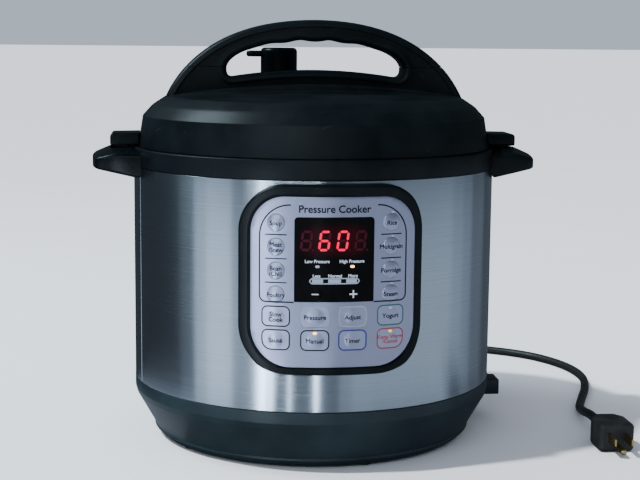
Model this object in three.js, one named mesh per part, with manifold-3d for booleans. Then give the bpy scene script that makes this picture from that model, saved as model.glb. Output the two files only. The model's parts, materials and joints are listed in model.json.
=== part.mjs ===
// Electric pressure cooker: a round countertop cooker with a twist-lock lid, an arched carrying
// handle, a removable inner pot, a key panel on the front and a detachable mains lead.
// Millimetres, +Z up, the panel faces -Y.  The origin is the middle of the footprint, on the table.

import * as THREE from "three";
import { mergeVertices } from "three/addons/utils/BufferGeometryUtils.js";
import Module from "manifold-3d";

const wasm = await Module();
wasm.setup();

// ---------------------------------------------------------------- driving dimensions

const GAP = 0.3; // clearance between neighbouring pieces
const ROUND = 48; // facets around the outer shells
const INNER_ROUND = 32; // facets around the pieces inside

const BODY = { radius: 137.6, sleeveWall: 1, sleeveLow: 45.7, sleeveHigh: 207.8, collarHigh: 221.3 };
const SHELL = { groundClearance: 1.5, ringInner: 104 };
const FOOT = { count: 5, radius: 6.5, circle: 111, first: 14 };
const PANEL = { back: 138.1, floor: 141.6, crest: 143.9, half: 66, middle: 140.3 };
const OVERLAY = { inner: 141.95, outer: 143.15, halfWidth: 58.5, halfHeight: 58.1, middle: 139.5 };
const WINDOW = { halfWidth: 27.6, low: 125, high: 183.1, corner: 3.5 };
const KEY = { seat: 142.4, height: 1.7, round: 6.2, width: 20.2, tall: 14.6, corner: 4.2, clearance: 0.4 };
const COLUMN_KEYS = { reach: 40.5, top: 179.3, pitch: 16.5 };
const ROW_KEYS = { middles: [-40.4, -13.2, 13.1, 40.6], heights: [114.6, 98.2] };
const SIGN_KEYS = { reach: 13.2, height: 130.4, radius: 5 };

const HOUSING = { inner: 118, wall: 1, low: 40, flange: 130, flangeLow: 213.5 };
const POT = { inner: 110, wall: 1.5, low: 62.3, rim: 116.5, high: 221 };
const LUGS = { count: 12, span: 12, baseLow: 218.7, baseHigh: 220, lidLow: 216, lidHigh: 218.2 };
const LID = { skirt: 134.2, low: 221.8, ridge: 130.6, ridgeHigh: 244.5, knee: 113.5, kneeHigh: 258.9, high: 262.6 };
const INNER_LID = { low: 234, wall: 1.2, inner: 128.8, outer: 130 };

const HANDLE = { foot: 113, top: 317, split: 281.5, half: 15, bevel: 5 };
const GRIP_HOLE = { half: 67.5, low: 279, cornerLow: 274, high: 302, wavePitch: 24, wave: 0.9 };
const SKIRTS = [
  { half: 19.5, crown: 268.8 },
  { half: 24, crown: 264.6 },
];
const FIN = { inner: 134.8, outer: 155, low: 222.2, high: 231.4, half: 16 };
const SIDE_HANDLE = { inner: 138.3, tip: 168.6, half: 40, slotIn: 143, slotOut: 155, slotHalf: 18 };

const VALVE = { x: -22.8, y: 55, pipe: 5, bore: 2.5, knob: 14.6, knobLow: 268, knobHigh: 295.5, lever: 26 };
const FLOAT = { x: 24, y: 52, pin: 2.2, hole: 3, head: 4.2 };

const COLLECTOR = { half: 32, inner: 138.4, reach: 166, low: 150, high: 205, wall: 1.8 };
const SOCKET = { inner: 122, outer: 152.3, front: 4, back: 25, low: 20.5, high: 32.5, middleX: 142.2, middleZ: 26.5 };
const PLUG_SEAT = { half: 7, tall: 8.4, depth: 14, pin: 1.2, pitch: 4.2 };

// The pot's axis stands forward of the footprint's middle, because the collector reaches further back
// than the panel reaches forward.
const AXIS_Y = -(COLLECTOR.reach - PANEL.crest) / 2;

// The lead's centreline: straight out of the connector, down to the table, a loose turn behind the
// cooker and forward along its right side to the plug.
const LEAD = { diameter: 7, sides: 8, steps: 60 };
const LEAD_ROUTE = [
  [142.2, 80.3, 26.5], [142.2, 94, 25.9], [142.8, 108, 22.2], [144.4, 124, 14.5], [145.6, 140, 7.2],
  [144.5, 156, 4.2], [139, 172, 3.6], [127, 187, 3.6], [109, 197, 3.6], [84, 201, 3.6],
  [34, 203, 3.6], [-15, 204, 3.6], [-33, 208.5, 3.6], [-46, 221, 3.6], [-50.5, 238.5, 3.6],
  [-46, 256, 3.6], [-33, 268.5, 3.6], [-15, 273, 3.6], [40, 274, 3.6], [96, 271, 3.6], [150, 261, 3.6],
  [196, 243, 3.6], [232, 214, 3.6], [253, 174, 3.6], [258, 130, 3.6], [249, 88, 3.6],
  [235, 50, 3.6], [224, 18, 4.6], [220, -8, 8], [219, -26, 10.6], [219, -40.3, 11],
];
const PLUG = { body: 34, halfWidth: 13.5, halfTall: 10.5, relief: 22, blade: 16, bladeApart: 6.35 };

// ---------------------------------------------------------------- materials

const finish = (color, roughness, metalness) => new THREE.MeshStandardMaterial({ color, roughness, metalness });
const LOOK = {
  mattePlastic: finish(0x15191b, 0.6, 0),
  basePlastic: finish(0x1b2022, 0.7, 0),
  glossPlastic: finish(0x0b0d0f, 0.22, 0),
  brushedSteel: finish(0xb9bcc2, 0.32, 1),
  polishedSteel: finish(0xc9ccd0, 0.2, 1),
  castAluminium: finish(0xa6a8ab, 0.45, 1),
  galvanised: finish(0x9da1a4, 0.5, 1),
  overlay: finish(0xb5b3c6, 0.4, 0.2),
  key: finish(0xbcbacd, 0.38, 0.1),
  window: finish(0x050506, 0.1, 0),
  board: finish(0x1f5a35, 0.5, 0),
  display: finish(0x2a0508, 0.4, 0),
  silicone: finish(0xd8dad8, 0.6, 0),
  clear: finish(0xc8d0d4, 0.15, 0),
  rubber: finish(0x101112, 0.85, 0),
  cable: finish(0x0c0d0e, 0.5, 0),
  brass: finish(0xb08a45, 0.3, 1),
};

// ---------------------------------------------------------------- geometry helpers

const radians = THREE.MathUtils.degToRad;

// Removes triangles that have collapsed to a line, such as those on a turned shape's axis.
function withoutSlivers(index) {
  const kept = [];
  for (let i = 0; i < index.length; i += 3) {
    const [a, b, c] = [index[i], index[i + 1], index[i + 2]];
    if (a !== b && b !== c && c !== a) kept.push(a, b, c);
  }
  return new Uint32Array(kept);
}

function solid(geometry) {
  const bare = geometry.clone();
  bare.deleteAttribute("normal");
  bare.deleteAttribute("uv");
  const welded = mergeVertices(bare, 1e-4);
  const vertProperties = new Float32Array(welded.attributes.position.array);
  const triVerts = withoutSlivers(welded.index.array);
  return new wasm.Manifold(new wasm.Mesh({ numProp: 3, vertProperties, triVerts }));
}

function geometryOf(manifold) {
  const mesh = manifold.getMesh();
  const geometry = new THREE.BufferGeometry();
  geometry.setAttribute("position", new THREE.BufferAttribute(mesh.vertProperties, 3));
  geometry.setIndex(new THREE.BufferAttribute(mesh.triVerts, 1));
  geometry.computeVertexNormals();
  return geometry;
}

const join = (first, ...others) => geometryOf(others.reduce((all, g) => all.add(solid(g)), solid(first)));
const cut = (first, ...others) => geometryOf(others.reduce((all, g) => all.subtract(solid(g)), solid(first)));
const overlap = (first, second) => geometryOf(solid(first).intersect(solid(second)));

// Turns a closed profile of [radius, height] points about the Z axis.
function revolve(profile, facets = ROUND) {
  const points = profile.map(([r, z]) => new THREE.Vector2(r, z));
  const meetsAxis = points[0].x === 0 && points.at(-1).x === 0;
  if (THREE.ShapeUtils.area(points) < 0) points.reverse();
  if (!meetsAxis) points.push(points[0].clone());
  const geometry = new THREE.LatheGeometry(points, facets);
  return geometry.rotateX(Math.PI / 2);
}

const tube = (inner, outer, low, high, facets = ROUND) =>
  revolve([[inner, low], [outer, low], [outer, high], [inner, high]], facets);

const rod = (radius, low, high, x = 0, y = 0, facets = 16) =>
  new THREE.CylinderGeometry(radius, radius, high - low, facets)
    .rotateX(Math.PI / 2)
    .translate(x, y, (low + high) / 2);

const block = ([x0, x1], [y0, y1], [z0, z1]) =>
  new THREE.BoxGeometry(x1 - x0, y1 - y0, z1 - z0).translate((x0 + x1) / 2, (y0 + y1) / 2, (z0 + z1) / 2);

// An outline seen from above, raised from low to high.
const raise = (shape, low, high, curveSegments = 6) =>
  new THREE.ExtrudeGeometry(shape, { depth: high - low, bevelEnabled: false, curveSegments }).translate(0, 0, low);

// An outline seen from the front, running from y = near back to y = far.
const runBack = (shape, near, far, curveSegments = 6) =>
  new THREE.ExtrudeGeometry(shape, { depth: far - near, bevelEnabled: false, curveSegments })
    .rotateX(Math.PI / 2)
    .translate(0, far, 0);

function roundedRectangle(x0, x1, y0, y1, lowCorner, highCorner = lowCorner) {
  const shape = new THREE.Shape();
  shape.moveTo(x0 + lowCorner, y0);
  shape.lineTo(x1 - lowCorner, y0);
  shape.absarc(x1 - lowCorner, y0 + lowCorner, lowCorner, -Math.PI / 2, 0, false);
  shape.lineTo(x1, y1 - highCorner);
  shape.absarc(x1 - highCorner, y1 - highCorner, highCorner, 0, Math.PI / 2, false);
  shape.lineTo(x0 + highCorner, y1);
  shape.absarc(x0 + highCorner, y1 - highCorner, highCorner, Math.PI / 2, Math.PI, false);
  shape.lineTo(x0, y0 + lowCorner);
  shape.absarc(x0 + lowCorner, y0 + lowCorner, lowCorner, Math.PI, 1.5 * Math.PI, false);
  return shape;
}

function piece(name, geometry, material) {
  const mesh = new THREE.Mesh(geometry, material);
  mesh.name = name;
  return mesh;
}

// ---------------------------------------------------------------- base

function baseShell() {
  const { radius, sleeveLow } = BODY;
  const profile = [
    [SHELL.ringInner, SHELL.groundClearance], [118, SHELL.groundClearance], [123.2, 6.4],
    [122.4, 8], [131.9, 24.8], [136.6, 33], [radius + 0.1, 37],
    [radius + 0.1, sleeveLow - GAP], [136.2, sleeveLow - GAP], [136.2, 52], [133.7, 52],
    [133.7, 42], [120, 10], [112, 4.5], [SHELL.ringInner, 4.5],
  ];
  const socketHole = block(
    [SOCKET.inner - 20, SOCKET.outer], [SOCKET.front - GAP, SOCKET.back + GAP], [SOCKET.low - GAP, SOCKET.high + GAP],
  );
  return piece("base_shell", cut(revolve(profile), socketHole), LOOK.basePlastic);
}

function bottomPlate() {
  const shape = new THREE.Shape().absarc(0, 0, SHELL.ringInner - GAP, 0, 2 * Math.PI);
  const slots = 10;
  for (let i = 0; i < slots; i += 1) {
    const angle = (2 * Math.PI * i) / slots;
    const slot = roundedRectangle(38, 74, -2.2, 2.2, 2.1).getPoints(1);
    const hole = slot.map((p) => p.rotateAround(new THREE.Vector2(), angle));
    shape.holes.push(new THREE.Path(hole));
  }
  return piece("bottom_plate", raise(shape, 2, 4, ROUND / 4), LOOK.basePlastic);
}

function feet() {
  return Array.from({ length: FOOT.count }, (_, i) => {
    const angle = radians(FOOT.first - 90 + (360 * i) / FOOT.count);
    const x = FOOT.circle * Math.cos(angle);
    const y = FOOT.circle * Math.sin(angle);
    return piece(`foot_${i + 1}`, rod(FOOT.radius, 0, SHELL.groundClearance - GAP, x, y), LOOK.rubber);
  });
}

function steelSleeve() {
  const wall = tube(BODY.radius - BODY.sleeveWall, BODY.radius, BODY.sleeveLow, BODY.sleeveHigh);
  const panelHole = block([-38, 38], [-BODY.radius - 5, -100], [82, 198]);
  return piece("steel_sleeve", cut(wall, panelHole), LOOK.brushedSteel);
}

function upperCollar() {
  const outer = BODY.radius + 0.3;
  const profile = [
    [133.9, 200], [136.1, 200], [136.1, 208.1], [outer, 208.1], [outer, 220.2], [137, BODY.collarHigh],
    [130.6, BODY.collarHigh], [130.6, 213.2], [125.2, 213.2], [125.2, 210], [133.9, 210],
  ];
  const drainSpout = block([-18, 18], [134, 150], [209, 213]);
  return piece("upper_collar", join(revolve(profile), drainSpout), LOOK.mattePlastic);
}

// A carrying handle on the side given by the sign: a thick tongue that thins towards its tip, with the
// slot that holds the lid upright by its fin.
function sideHandle(name, side) {
  const { inner, tip, half, slotIn, slotOut, slotHalf } = SIDE_HANDLE;
  const outline = new THREE.Shape();
  const spread = Math.asin(half / inner);
  const tipSpread = Math.asin((half - 8) / tip);
  outline.moveTo(inner * Math.cos(spread), -inner * Math.sin(spread));
  outline.quadraticCurveTo(tip - 4, -half, tip * Math.cos(tipSpread), -tip * Math.sin(tipSpread));
  outline.absarc(0, 0, tip, -tipSpread, tipSpread, false);
  outline.quadraticCurveTo(tip - 4, half, inner * Math.cos(spread), inner * Math.sin(spread));
  outline.absarc(0, 0, inner, spread, -spread, true);
  const section = new THREE.Shape([
    new THREE.Vector2(130, 198.2), new THREE.Vector2(141, 198.2), new THREE.Vector2(tip + 1, 205.6),
    new THREE.Vector2(tip + 1, 215.6), new THREE.Vector2(155, 221.4), new THREE.Vector2(130, 221.4),
  ]);
  const slot = raise(roundedRectangle(slotIn, slotOut, -slotHalf, slotHalf, 3), 190, 230, 3);
  const tongue = overlap(raise(outline, 190, 230, 8), runBack(section, -60, 60));
  const geometry = cut(tongue, slot);
  if (side < 0) geometry.rotateZ(Math.PI);
  return piece(name, geometry, LOOK.glossPlastic);
}

// The bucket that the inner pot stands in.
function innerHousing() {
  const { inner, wall, low, flange, flangeLow } = HOUSING;
  const profile = [
    [100, low], [inner + wall, low], [inner + wall, flangeLow], [flange, flangeLow], [flange, flangeLow + 1],
    [inner, flangeLow + 1], [inner, low + wall], [100, low + wall],
  ];
  return piece("inner_housing", revolve(profile, INNER_ROUND), LOOK.galvanised);
}

// Twelve tabs at an even pitch, each an arc of a ring.
function lugs(inner, outer, low, high, firstAngle) {
  return Array.from({ length: LUGS.count }, (_, i) => {
    const middle = radians(firstAngle + (360 * i) / LUGS.count);
    const half = radians(LUGS.span / 2);
    const shape = new THREE.Shape();
    shape.absarc(0, 0, inner, middle - half, middle + half, false);
    shape.absarc(0, 0, outer, middle + half, middle - half, true);
    return raise(shape, low, high, 1);
  });
}

function lidLockRing() {
  const flangeLow = HOUSING.flangeLow + 1 + GAP;
  const profile = [
    [121, flangeLow], [129.8, flangeLow], [129.8, flangeLow + 0.8], [122.6, flangeLow + 0.8],
    [122.6, LUGS.baseHigh], [121, LUGS.baseHigh],
  ];
  const ring = revolve(profile, INNER_ROUND);
  const tabs = lugs(121.8, 127.4, LUGS.baseLow, LUGS.baseHigh, 0);
  return piece("lid_lock_ring", join(ring, ...tabs), LOOK.polishedSteel);
}

function heatingPlate() {
  const profile = [
    [19, 54], [60, 52.4], [86, 52.4], [90, 55], [90, 60], [87.5, 61.8], [84, 62], [19, 62],
  ];
  return piece("heating_plate", revolve(profile, INNER_ROUND), LOOK.castAluminium);
}

// The steel disc under the heating plate, with the stubs that carry the plate.
function heatShield() {
  const disc = tube(6, HOUSING.inner - 18.5, 40.2, 41.2, INNER_ROUND);
  const stubs = [30, 150, 270].map((degrees) =>
    rod(4, 40.6, 52, 72 * Math.cos(radians(degrees)), 72 * Math.sin(radians(degrees)), 8));
  return piece("heat_shield", join(disc, ...stubs), LOOK.galvanised);
}

function temperatureSensor() {
  const profile = [[0, 38], [4.2, 38], [4.2, 52.4], [16.8, 52.4], [17.4, 54], [17.4, 61], [16.4, 62], [0, 62]];
  return piece("temperature_sensor", revolve(profile, 24), LOOK.castAluminium);
}

function sensorSpring() {
  const coil = { radius: 7.2, wire: 0.7, low: 42.2, high: 51.4, turns: 3.5 };
  const points = [];
  const stepsPerTurn = 10;
  for (let i = 0; i <= coil.turns * stepsPerTurn; i += 1) {
    const angle = (2 * Math.PI * i) / stepsPerTurn;
    const z = THREE.MathUtils.lerp(coil.low, coil.high, i / (coil.turns * stepsPerTurn));
    points.push(new THREE.Vector3(coil.radius * Math.cos(angle), coil.radius * Math.sin(angle), z));
  }
  const section = new THREE.Shape().absarc(0, 0, coil.wire, 0, 2 * Math.PI);
  const geometry = new THREE.ExtrudeGeometry(section, {
    extrudePath: new THREE.CatmullRomCurve3(points), steps: 36, curveSegments: 3, bevelEnabled: false,
  });
  return piece("sensor_spring", geometry, LOOK.polishedSteel);
}

// ---------------------------------------------------------------- front panel

// A plate that follows the cooker's side between two radii, with the given outline seen from the front.
function curvedPlate(shape, inner, outer) {
  const band = tube(inner, outer, 60, 220);
  return overlap(band, runBack(shape, -PANEL.crest - 10, -100, 4));
}

// Places an outward-facing geometry on the panel: across is measured along the curve.
function onPanel(geometry, across, height, radius = KEY.seat) {
  return geometry
    .rotateX(Math.PI / 2)
    .translate(0, -radius, height)
    .rotateZ(across / PANEL.crest);
}

function panelBezel() {
  const { half, middle, back, floor, crest } = PANEL;
  const outline = roundedRectangle(-half + 2, half - 2, middle - half, middle + half, 36, 31);
  const pocket = roundedRectangle(
    -OVERLAY.halfWidth + 1, OVERLAY.halfWidth - 1,
    OVERLAY.middle - OVERLAY.halfHeight - GAP, OVERLAY.middle + OVERLAY.halfHeight + GAP, 30, 25,
  );
  const opening = block([-29, 29], [-crest - 5, -100], [96, 184]);
  const posts = [[-33, 90], [33, 90], [-33, 190], [33, 190]].map(([x, z]) =>
    new THREE.CylinderGeometry(3, 3, 10, 8).translate(x, -131.3, z));
  const plate = cut(curvedPlate(outline, back, crest), curvedPlate(pocket, floor, crest + 4), opening);
  return piece("panel_bezel", join(plate, ...posts), LOOK.glossPlastic);
}

const windowOutline = (grow = 0) => roundedRectangle(
  -WINDOW.halfWidth - grow, WINDOW.halfWidth + grow, WINDOW.low - grow, WINDOW.high + grow, WINDOW.corner,
);

// Every key: its name, its place on the panel and its shape.
function keyList() {
  const { reach, top, pitch } = COLUMN_KEYS;
  const columns = [["soup", "stew", "beans", "poultry"], ["rice", "multigrain", "porridge", "steam"]];
  const rows = [["slow_cook", "pressure", "adjust", "yogurt"], ["saute", "manual", "timer", "cancel"]];
  const list = [
    { name: "key_minus", across: -SIGN_KEYS.reach, height: SIGN_KEYS.height, radius: SIGN_KEYS.radius },
    { name: "key_plus", across: SIGN_KEYS.reach, height: SIGN_KEYS.height, radius: SIGN_KEYS.radius },
  ];
  columns.forEach((names, side) => names.forEach((name, i) => list.push({
    name: `key_${name}`, across: side === 0 ? -reach : reach, height: top - pitch * i, radius: KEY.round,
  })));
  rows.forEach((names, row) => names.forEach((name, i) => list.push({
    name: `key_${name}`, across: ROW_KEYS.middles[i], height: ROW_KEYS.heights[row], radius: 0,
  })));
  return list;
}

// A round key has twelve sides, and a rectangular one has corners of two chords.
function keyBlock(key, low, high, grow = 0) {
  if (key.radius > 0) return rod(key.radius + grow, low, high, 0, 0, 12);
  const [x, y] = [KEY.width / 2 + grow, KEY.tall / 2 + grow];
  return raise(roundedRectangle(-x, x, -y, y, KEY.corner + grow), low, high, 1);
}

const keyHole = (key) => onPanel(keyBlock(key, -4, 6, KEY.clearance), key.across, key.height);

function keys() {
  return keyList().map((key) =>
    piece(key.name, onPanel(keyBlock(key, 0, KEY.height), key.across, key.height), LOOK.key));
}

const inWindow = (key) => key.name === "key_minus" || key.name === "key_plus";

function panelOverlay() {
  const { halfWidth, halfHeight, middle, inner, outer } = OVERLAY;
  const outline = roundedRectangle(
    -halfWidth + 1.4, halfWidth - 1.4, middle - halfHeight, middle + halfHeight, 30, 25,
  );
  const holes = keyList().filter((key) => !inWindow(key)).map(keyHole);
  const windowHole = runBack(windowOutline(GAP), -PANEL.crest - 10, -100, 2);
  return piece("panel_overlay", cut(curvedPlate(outline, inner, outer), windowHole, ...holes), LOOK.overlay);
}

function displayWindow() {
  const plate = curvedPlate(windowOutline(), OVERLAY.inner, OVERLAY.outer + 0.15);
  const holes = keyList().filter(inWindow).map(keyHole);
  return piece("display_window", cut(plate, ...holes), LOOK.window);
}

const displayModule = () =>
  piece("display_module", block([-25.5, 25.5], [-138.4, -126], [157, 179]), LOOK.display);

const controlBoard = () =>
  piece("control_board", block([-37, 37], [-125.7, -124.1], [84, 196]), LOOK.board);

// ---------------------------------------------------------------- mains inlet and lead

function socketHousing() {
  const { inner, outer, front, back, low, high, middleX, middleZ } = SOCKET;
  const body = block([inner, outer], [front, back], [low, high]);
  const half = PLUG_SEAT.half + 0.5;
  const tall = PLUG_SEAT.tall / 2 + 0.5;
  const recess = block([middleX - half, middleX + half], [back - 17, back + 5], [middleZ - tall, middleZ + tall]);
  return piece("socket_housing", cut(body, recess), LOOK.basePlastic);
}

const pinPlaces = [-1, 0, 1].map((i) => SOCKET.middleX + PLUG_SEAT.pitch * i);

// Three contact pins on the plate that holds them at the bottom of the inlet.
function inletPins() {
  const { back, middleX, middleZ } = SOCKET;
  const floor = back - 17 + GAP;
  const plate = block([middleX - 7, middleX + 7], [floor, floor + 1.2], [middleZ - 4, middleZ + 4]);
  const pins = pinPlaces.map((x) =>
    new THREE.CylinderGeometry(PLUG_SEAT.pin, PLUG_SEAT.pin, 11, 8).translate(x, floor + 6, middleZ));
  return piece("inlet_pins", join(plate, ...pins), LOOK.brass);
}

// The lead's connector: its nose sits in the inlet, and its tail tapers to the cable.
function leadConnector() {
  const { back, middleX, middleZ } = SOCKET;
  const nose = block(
    [middleX - PLUG_SEAT.half, middleX + PLUG_SEAT.half],
    [back - PLUG_SEAT.depth, back + 2], [middleZ - PLUG_SEAT.tall / 2, middleZ + PLUG_SEAT.tall / 2],
  );
  const grip = raise(roundedRectangle(-7.6, 7.6, back + GAP, 45, 2, 6), middleZ - 4.9, middleZ + 4.9, 3)
    .translate(middleX, 0, 0);
  const tail = new THREE.CylinderGeometry(4.1, 4.8, 37, 12).translate(middleX, 61.5, middleZ);
  const holes = pinPlaces.map((x) =>
    new THREE.CylinderGeometry(PLUG_SEAT.pin + 0.4, PLUG_SEAT.pin + 0.4, 14, 8).translate(x, back - 9, middleZ));
  return piece("lead_connector", cut(join(nose, grip, tail), ...holes), LOOK.rubber);
}

function powerLead() {
  const path = new THREE.CatmullRomCurve3(LEAD_ROUTE.map((p) => new THREE.Vector3(...p)), false, "centripetal");
  const section = new THREE.Shape();
  for (let i = 0; i < LEAD.sides; i += 1) {
    const angle = (2 * Math.PI * i) / LEAD.sides;
    const x = (LEAD.diameter / 2) * Math.cos(angle);
    const y = (LEAD.diameter / 2) * Math.sin(angle);
    if (i === 0) section.moveTo(x, y);
    else section.lineTo(x, y);
  }
  const geometry = new THREE.ExtrudeGeometry(section, {
    extrudePath: path, steps: LEAD.steps, curveSegments: 1, bevelEnabled: false,
  });
  return piece("power_lead", geometry, LOOK.cable);
}

// The mains plug: two flat blades and a round earth pin, pointing forward on the table.
function leadPlug() {
  const [x, rear, z] = LEAD_ROUTE.at(-1);
  const back = rear - GAP;
  const front = back - PLUG.relief - PLUG.body;
  const relief = new THREE.CylinderGeometry(4.1, 6, PLUG.relief + 2, 12)
    .translate(x, back - PLUG.relief / 2 - 1, z);
  const outline = roundedRectangle(x - PLUG.halfWidth, x + PLUG.halfWidth, front, back - PLUG.relief, 2, 9);
  const body = raise(outline, z - PLUG.halfTall, z + PLUG.halfTall, 4);
  const blade = (dx) => block(
    [x + dx - 0.75, x + dx + 0.75], [front - PLUG.blade, front + 2], [z + 1 - 3.2, z + 1 + 3.2],
  );
  const earth = new THREE.CylinderGeometry(2.3, 2.3, PLUG.blade + 4, 8)
    .translate(x, front - PLUG.blade / 2, z - 6);
  return piece("lead_plug", join(body, relief, blade(-PLUG.bladeApart), blade(PLUG.bladeApart), earth), LOOK.rubber);
}

// ---------------------------------------------------------------- collector and pot

// The clear cup that catches condensed water, open at the top.
function condensationCollector() {
  const { half, inner, reach, low, high, wall } = COLLECTOR;
  const cup = (grow, floor) => {
    const shape = new THREE.Shape();
    const near = inner - grow;
    const spread = Math.asin((half + grow) / near);
    shape.absarc(0, 0, near, Math.PI / 2 - spread, Math.PI / 2 + spread, false);
    shape.lineTo(-half - grow + 1, reach - 12 + grow);
    shape.quadraticCurveTo(-half + 4, reach + grow, -half + 14, reach + grow);
    shape.lineTo(half - 14, reach + grow);
    shape.quadraticCurveTo(half - 4, reach + grow, half + grow - 1, reach - 12 + grow);
    return raise(shape, floor, high + (grow < 0 ? 5 : 0), 6);
  };
  return piece("condensation_collector", cut(cup(0, low), cup(-wall, low + wall)), LOOK.clear);
}

function innerPot() {
  const { inner, wall, low, rim, high } = POT;
  const outer = inner + wall;
  const profile = [
    [0, low], [98, low], [106, low + 2.4], [110, low + 7.5], [outer, low + 14], [outer, high - 5],
    [rim, high - 2.2], [rim, high], [inner + 2.5, high], [inner, high - 4],
    [inner, low + 14.6], [108.6, low + 9], [104.8, low + 5], [97, low + 3], [0, low + 3],
  ];
  return piece("inner_pot", revolve(profile, INNER_ROUND), LOOK.polishedSteel);
}

// ---------------------------------------------------------------- lid

const lidTop = (lift = 0) => [
  [LID.knee, LID.kneeHigh + lift], [100, 260.4 + lift], [60, 262 + lift], [0, LID.high + lift],
];

function lidShell() {
  const profile = [
    [131.8, LID.low], [LID.skirt, LID.low], [132.5, 233], [LID.ridge, LID.ridgeHigh],
    [123.2, 252.6], ...lidTop(),
    [0, LID.high - 2.8], [60, 259.2], [108, 256.5], [127.4, 242], [130.8, 235.6],
  ];
  const valveHole = rod(VALVE.pipe + 1, 250, 270, VALVE.x, VALVE.y);
  const floatHole = rod(FLOAT.hole, 250, 270, FLOAT.x, FLOAT.y, 12);
  return piece("lid_shell", cut(revolve(profile), valveHole, floatHole), LOOK.mattePlastic);
}

// The arch seen from the front, from one foot over the top to the other.
function archOutline() {
  const { foot, top } = HANDLE;
  const shape = new THREE.Shape();
  shape.moveTo(-foot, 250);
  shape.lineTo(foot, 250);
  shape.lineTo(foot, 259);
  shape.bezierCurveTo(foot - 12, 285, 69, top, 0, top);
  shape.bezierCurveTo(-69, top, -foot + 12, 285, -foot, 259);
  return shape;
}

// The finger hole: a gently arched sill, and an upper edge with a wave for each finger.
function gripHole() {
  const { half, low, cornerLow, high, wavePitch, wave } = GRIP_HOLE;
  const shape = new THREE.Shape();
  shape.moveTo(-half + 5, cornerLow);
  shape.quadraticCurveTo(0, 2 * low - cornerLow, half - 5, cornerLow);
  shape.quadraticCurveTo(half, cornerLow, half, low + 1);
  const steps = 28;
  for (let i = 1; i < steps; i += 1) {
    const x = half * Math.cos((Math.PI * i) / steps);
    const arch = low + 1 + (high - low - 1) * Math.sin((Math.PI * i) / steps);
    const fade = Math.sin((Math.PI * i) / steps) ** 4;
    shape.lineTo(x, arch - wave * fade * (1 + Math.cos((2 * Math.PI * x) / wavePitch)) / 2);
  }
  shape.lineTo(-half, low + 1);
  shape.quadraticCurveTo(-half, cornerLow, -half + 5, cornerLow);
  return shape;
}

// A plate whose upper edge is a shallow arc between the feet, for the handle's stepped skirt.
function skirtPlate({ half, crown }) {
  const reach = Math.sqrt(HANDLE.foot ** 2 - half ** 2) - 1;
  const shape = new THREE.Shape();
  shape.moveTo(-reach, 250);
  shape.lineTo(reach, 250);
  shape.lineTo(reach, 260);
  shape.quadraticCurveTo(0, 2 * crown - 260, -reach, 260);
  return runBack(shape, -half, half, 10);
}

function wholeHandle() {
  const { half, bevel } = HANDLE;
  const shape = archOutline();
  shape.holes.push(gripHole());
  return new THREE.ExtrudeGeometry(shape, {
    depth: 2 * (half - bevel), bevelEnabled: true, bevelThickness: bevel, bevelSize: bevel,
    bevelOffset: -bevel, bevelSegments: 2, curveSegments: 12,
  }).rotateX(Math.PI / 2).translate(0, half - bevel, 0);
}

function lidHandle() {
  const above = block([-200, 200], [-50, 50], [HANDLE.split, 400]);
  const dome = revolve([[0, 200], [130, 200], [130, LID.kneeHigh + GAP], ...lidTop(GAP)], 32);
  const body = join(wholeHandle(), ...SKIRTS.map(skirtPlate));
  return piece("lid_handle", cut(body, above, dome), LOOK.mattePlastic);
}

function handleGrip() {
  const below = block([-200, 200], [-50, 50], [200, HANDLE.split + GAP]);
  return piece("handle_grip", cut(wholeHandle(), below), LOOK.mattePlastic);
}

function lidFin(name, side) {
  const { inner, outer, low, high, half } = FIN;
  const section = new THREE.Shape();
  section.moveTo(inner, low);
  section.lineTo(outer - 1, low);
  section.lineTo(outer, low + 1.5);
  section.lineTo(outer, high - 3);
  section.absarc(outer - 3, high - 3, 3, 0, Math.PI / 2, false);
  section.lineTo(inner, high + 0.6);
  const geometry = runBack(section, -half, half, 3);
  if (side < 0) geometry.rotateZ(Math.PI);
  return piece(name, geometry, LOOK.glossPlastic);
}

// The pressed steel inside of the lid, with the lugs that hook under those of the base.
function innerLid() {
  const { low, wall, inner, outer } = INNER_LID;
  const disc = revolve([
    [0, low], [inner, low], [inner, LUGS.lidLow], [outer, LUGS.lidLow], [outer, low + wall], [0, low + wall],
  ], INNER_ROUND);
  const tabs = lugs(124.3, outer - 0.4, LUGS.lidLow, LUGS.lidHigh, 180 / LUGS.count);
  const pipeHole = rod(VALVE.pipe + 1, low - 5, low + 5, VALVE.x, VALVE.y);
  const floatHole = rod(FLOAT.hole, low - 5, low + 5, FLOAT.x, FLOAT.y, 12);
  return piece("inner_lid", cut(join(disc, ...tabs), pipeHole, floatHole), LOOK.polishedSteel);
}

const sealingRing = () => piece("sealing_ring", revolve([
  [107.5, 223], [109.5, 221.4], [117.4, 221.4], [118.6, 224], [118.6, INNER_LID.low - GAP], [107.5, INNER_LID.low - GAP],
], INNER_ROUND), LOOK.silicone);

// The wire ring that holds the seal, on its legs.
function ringRack() {
  const wire = tube(103.8, 106, 226, 228.2, INNER_ROUND);
  const legs = Array.from({ length: 6 }, (_, i) => {
    const angle = radians(60 * i + 30);
    return rod(1, 227, INNER_LID.low - GAP, 104.9 * Math.cos(angle), 104.9 * Math.sin(angle), 6);
  });
  return piece("ring_rack", join(wire, ...legs), LOOK.polishedSteel);
}

function steamPipe() {
  const { x, y, pipe, bore } = VALVE;
  const low = 229.5;
  const profile = [
    [bore, low], [pipe, low], [pipe, low + 1], [8, low + 1], [8, INNER_LID.low - GAP], [pipe, INNER_LID.low - GAP],
    [pipe, 282], [bore, 282],
  ];
  return piece("steam_pipe", revolve(profile, 16).translate(x, y, 0), LOOK.polishedSteel);
}

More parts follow.
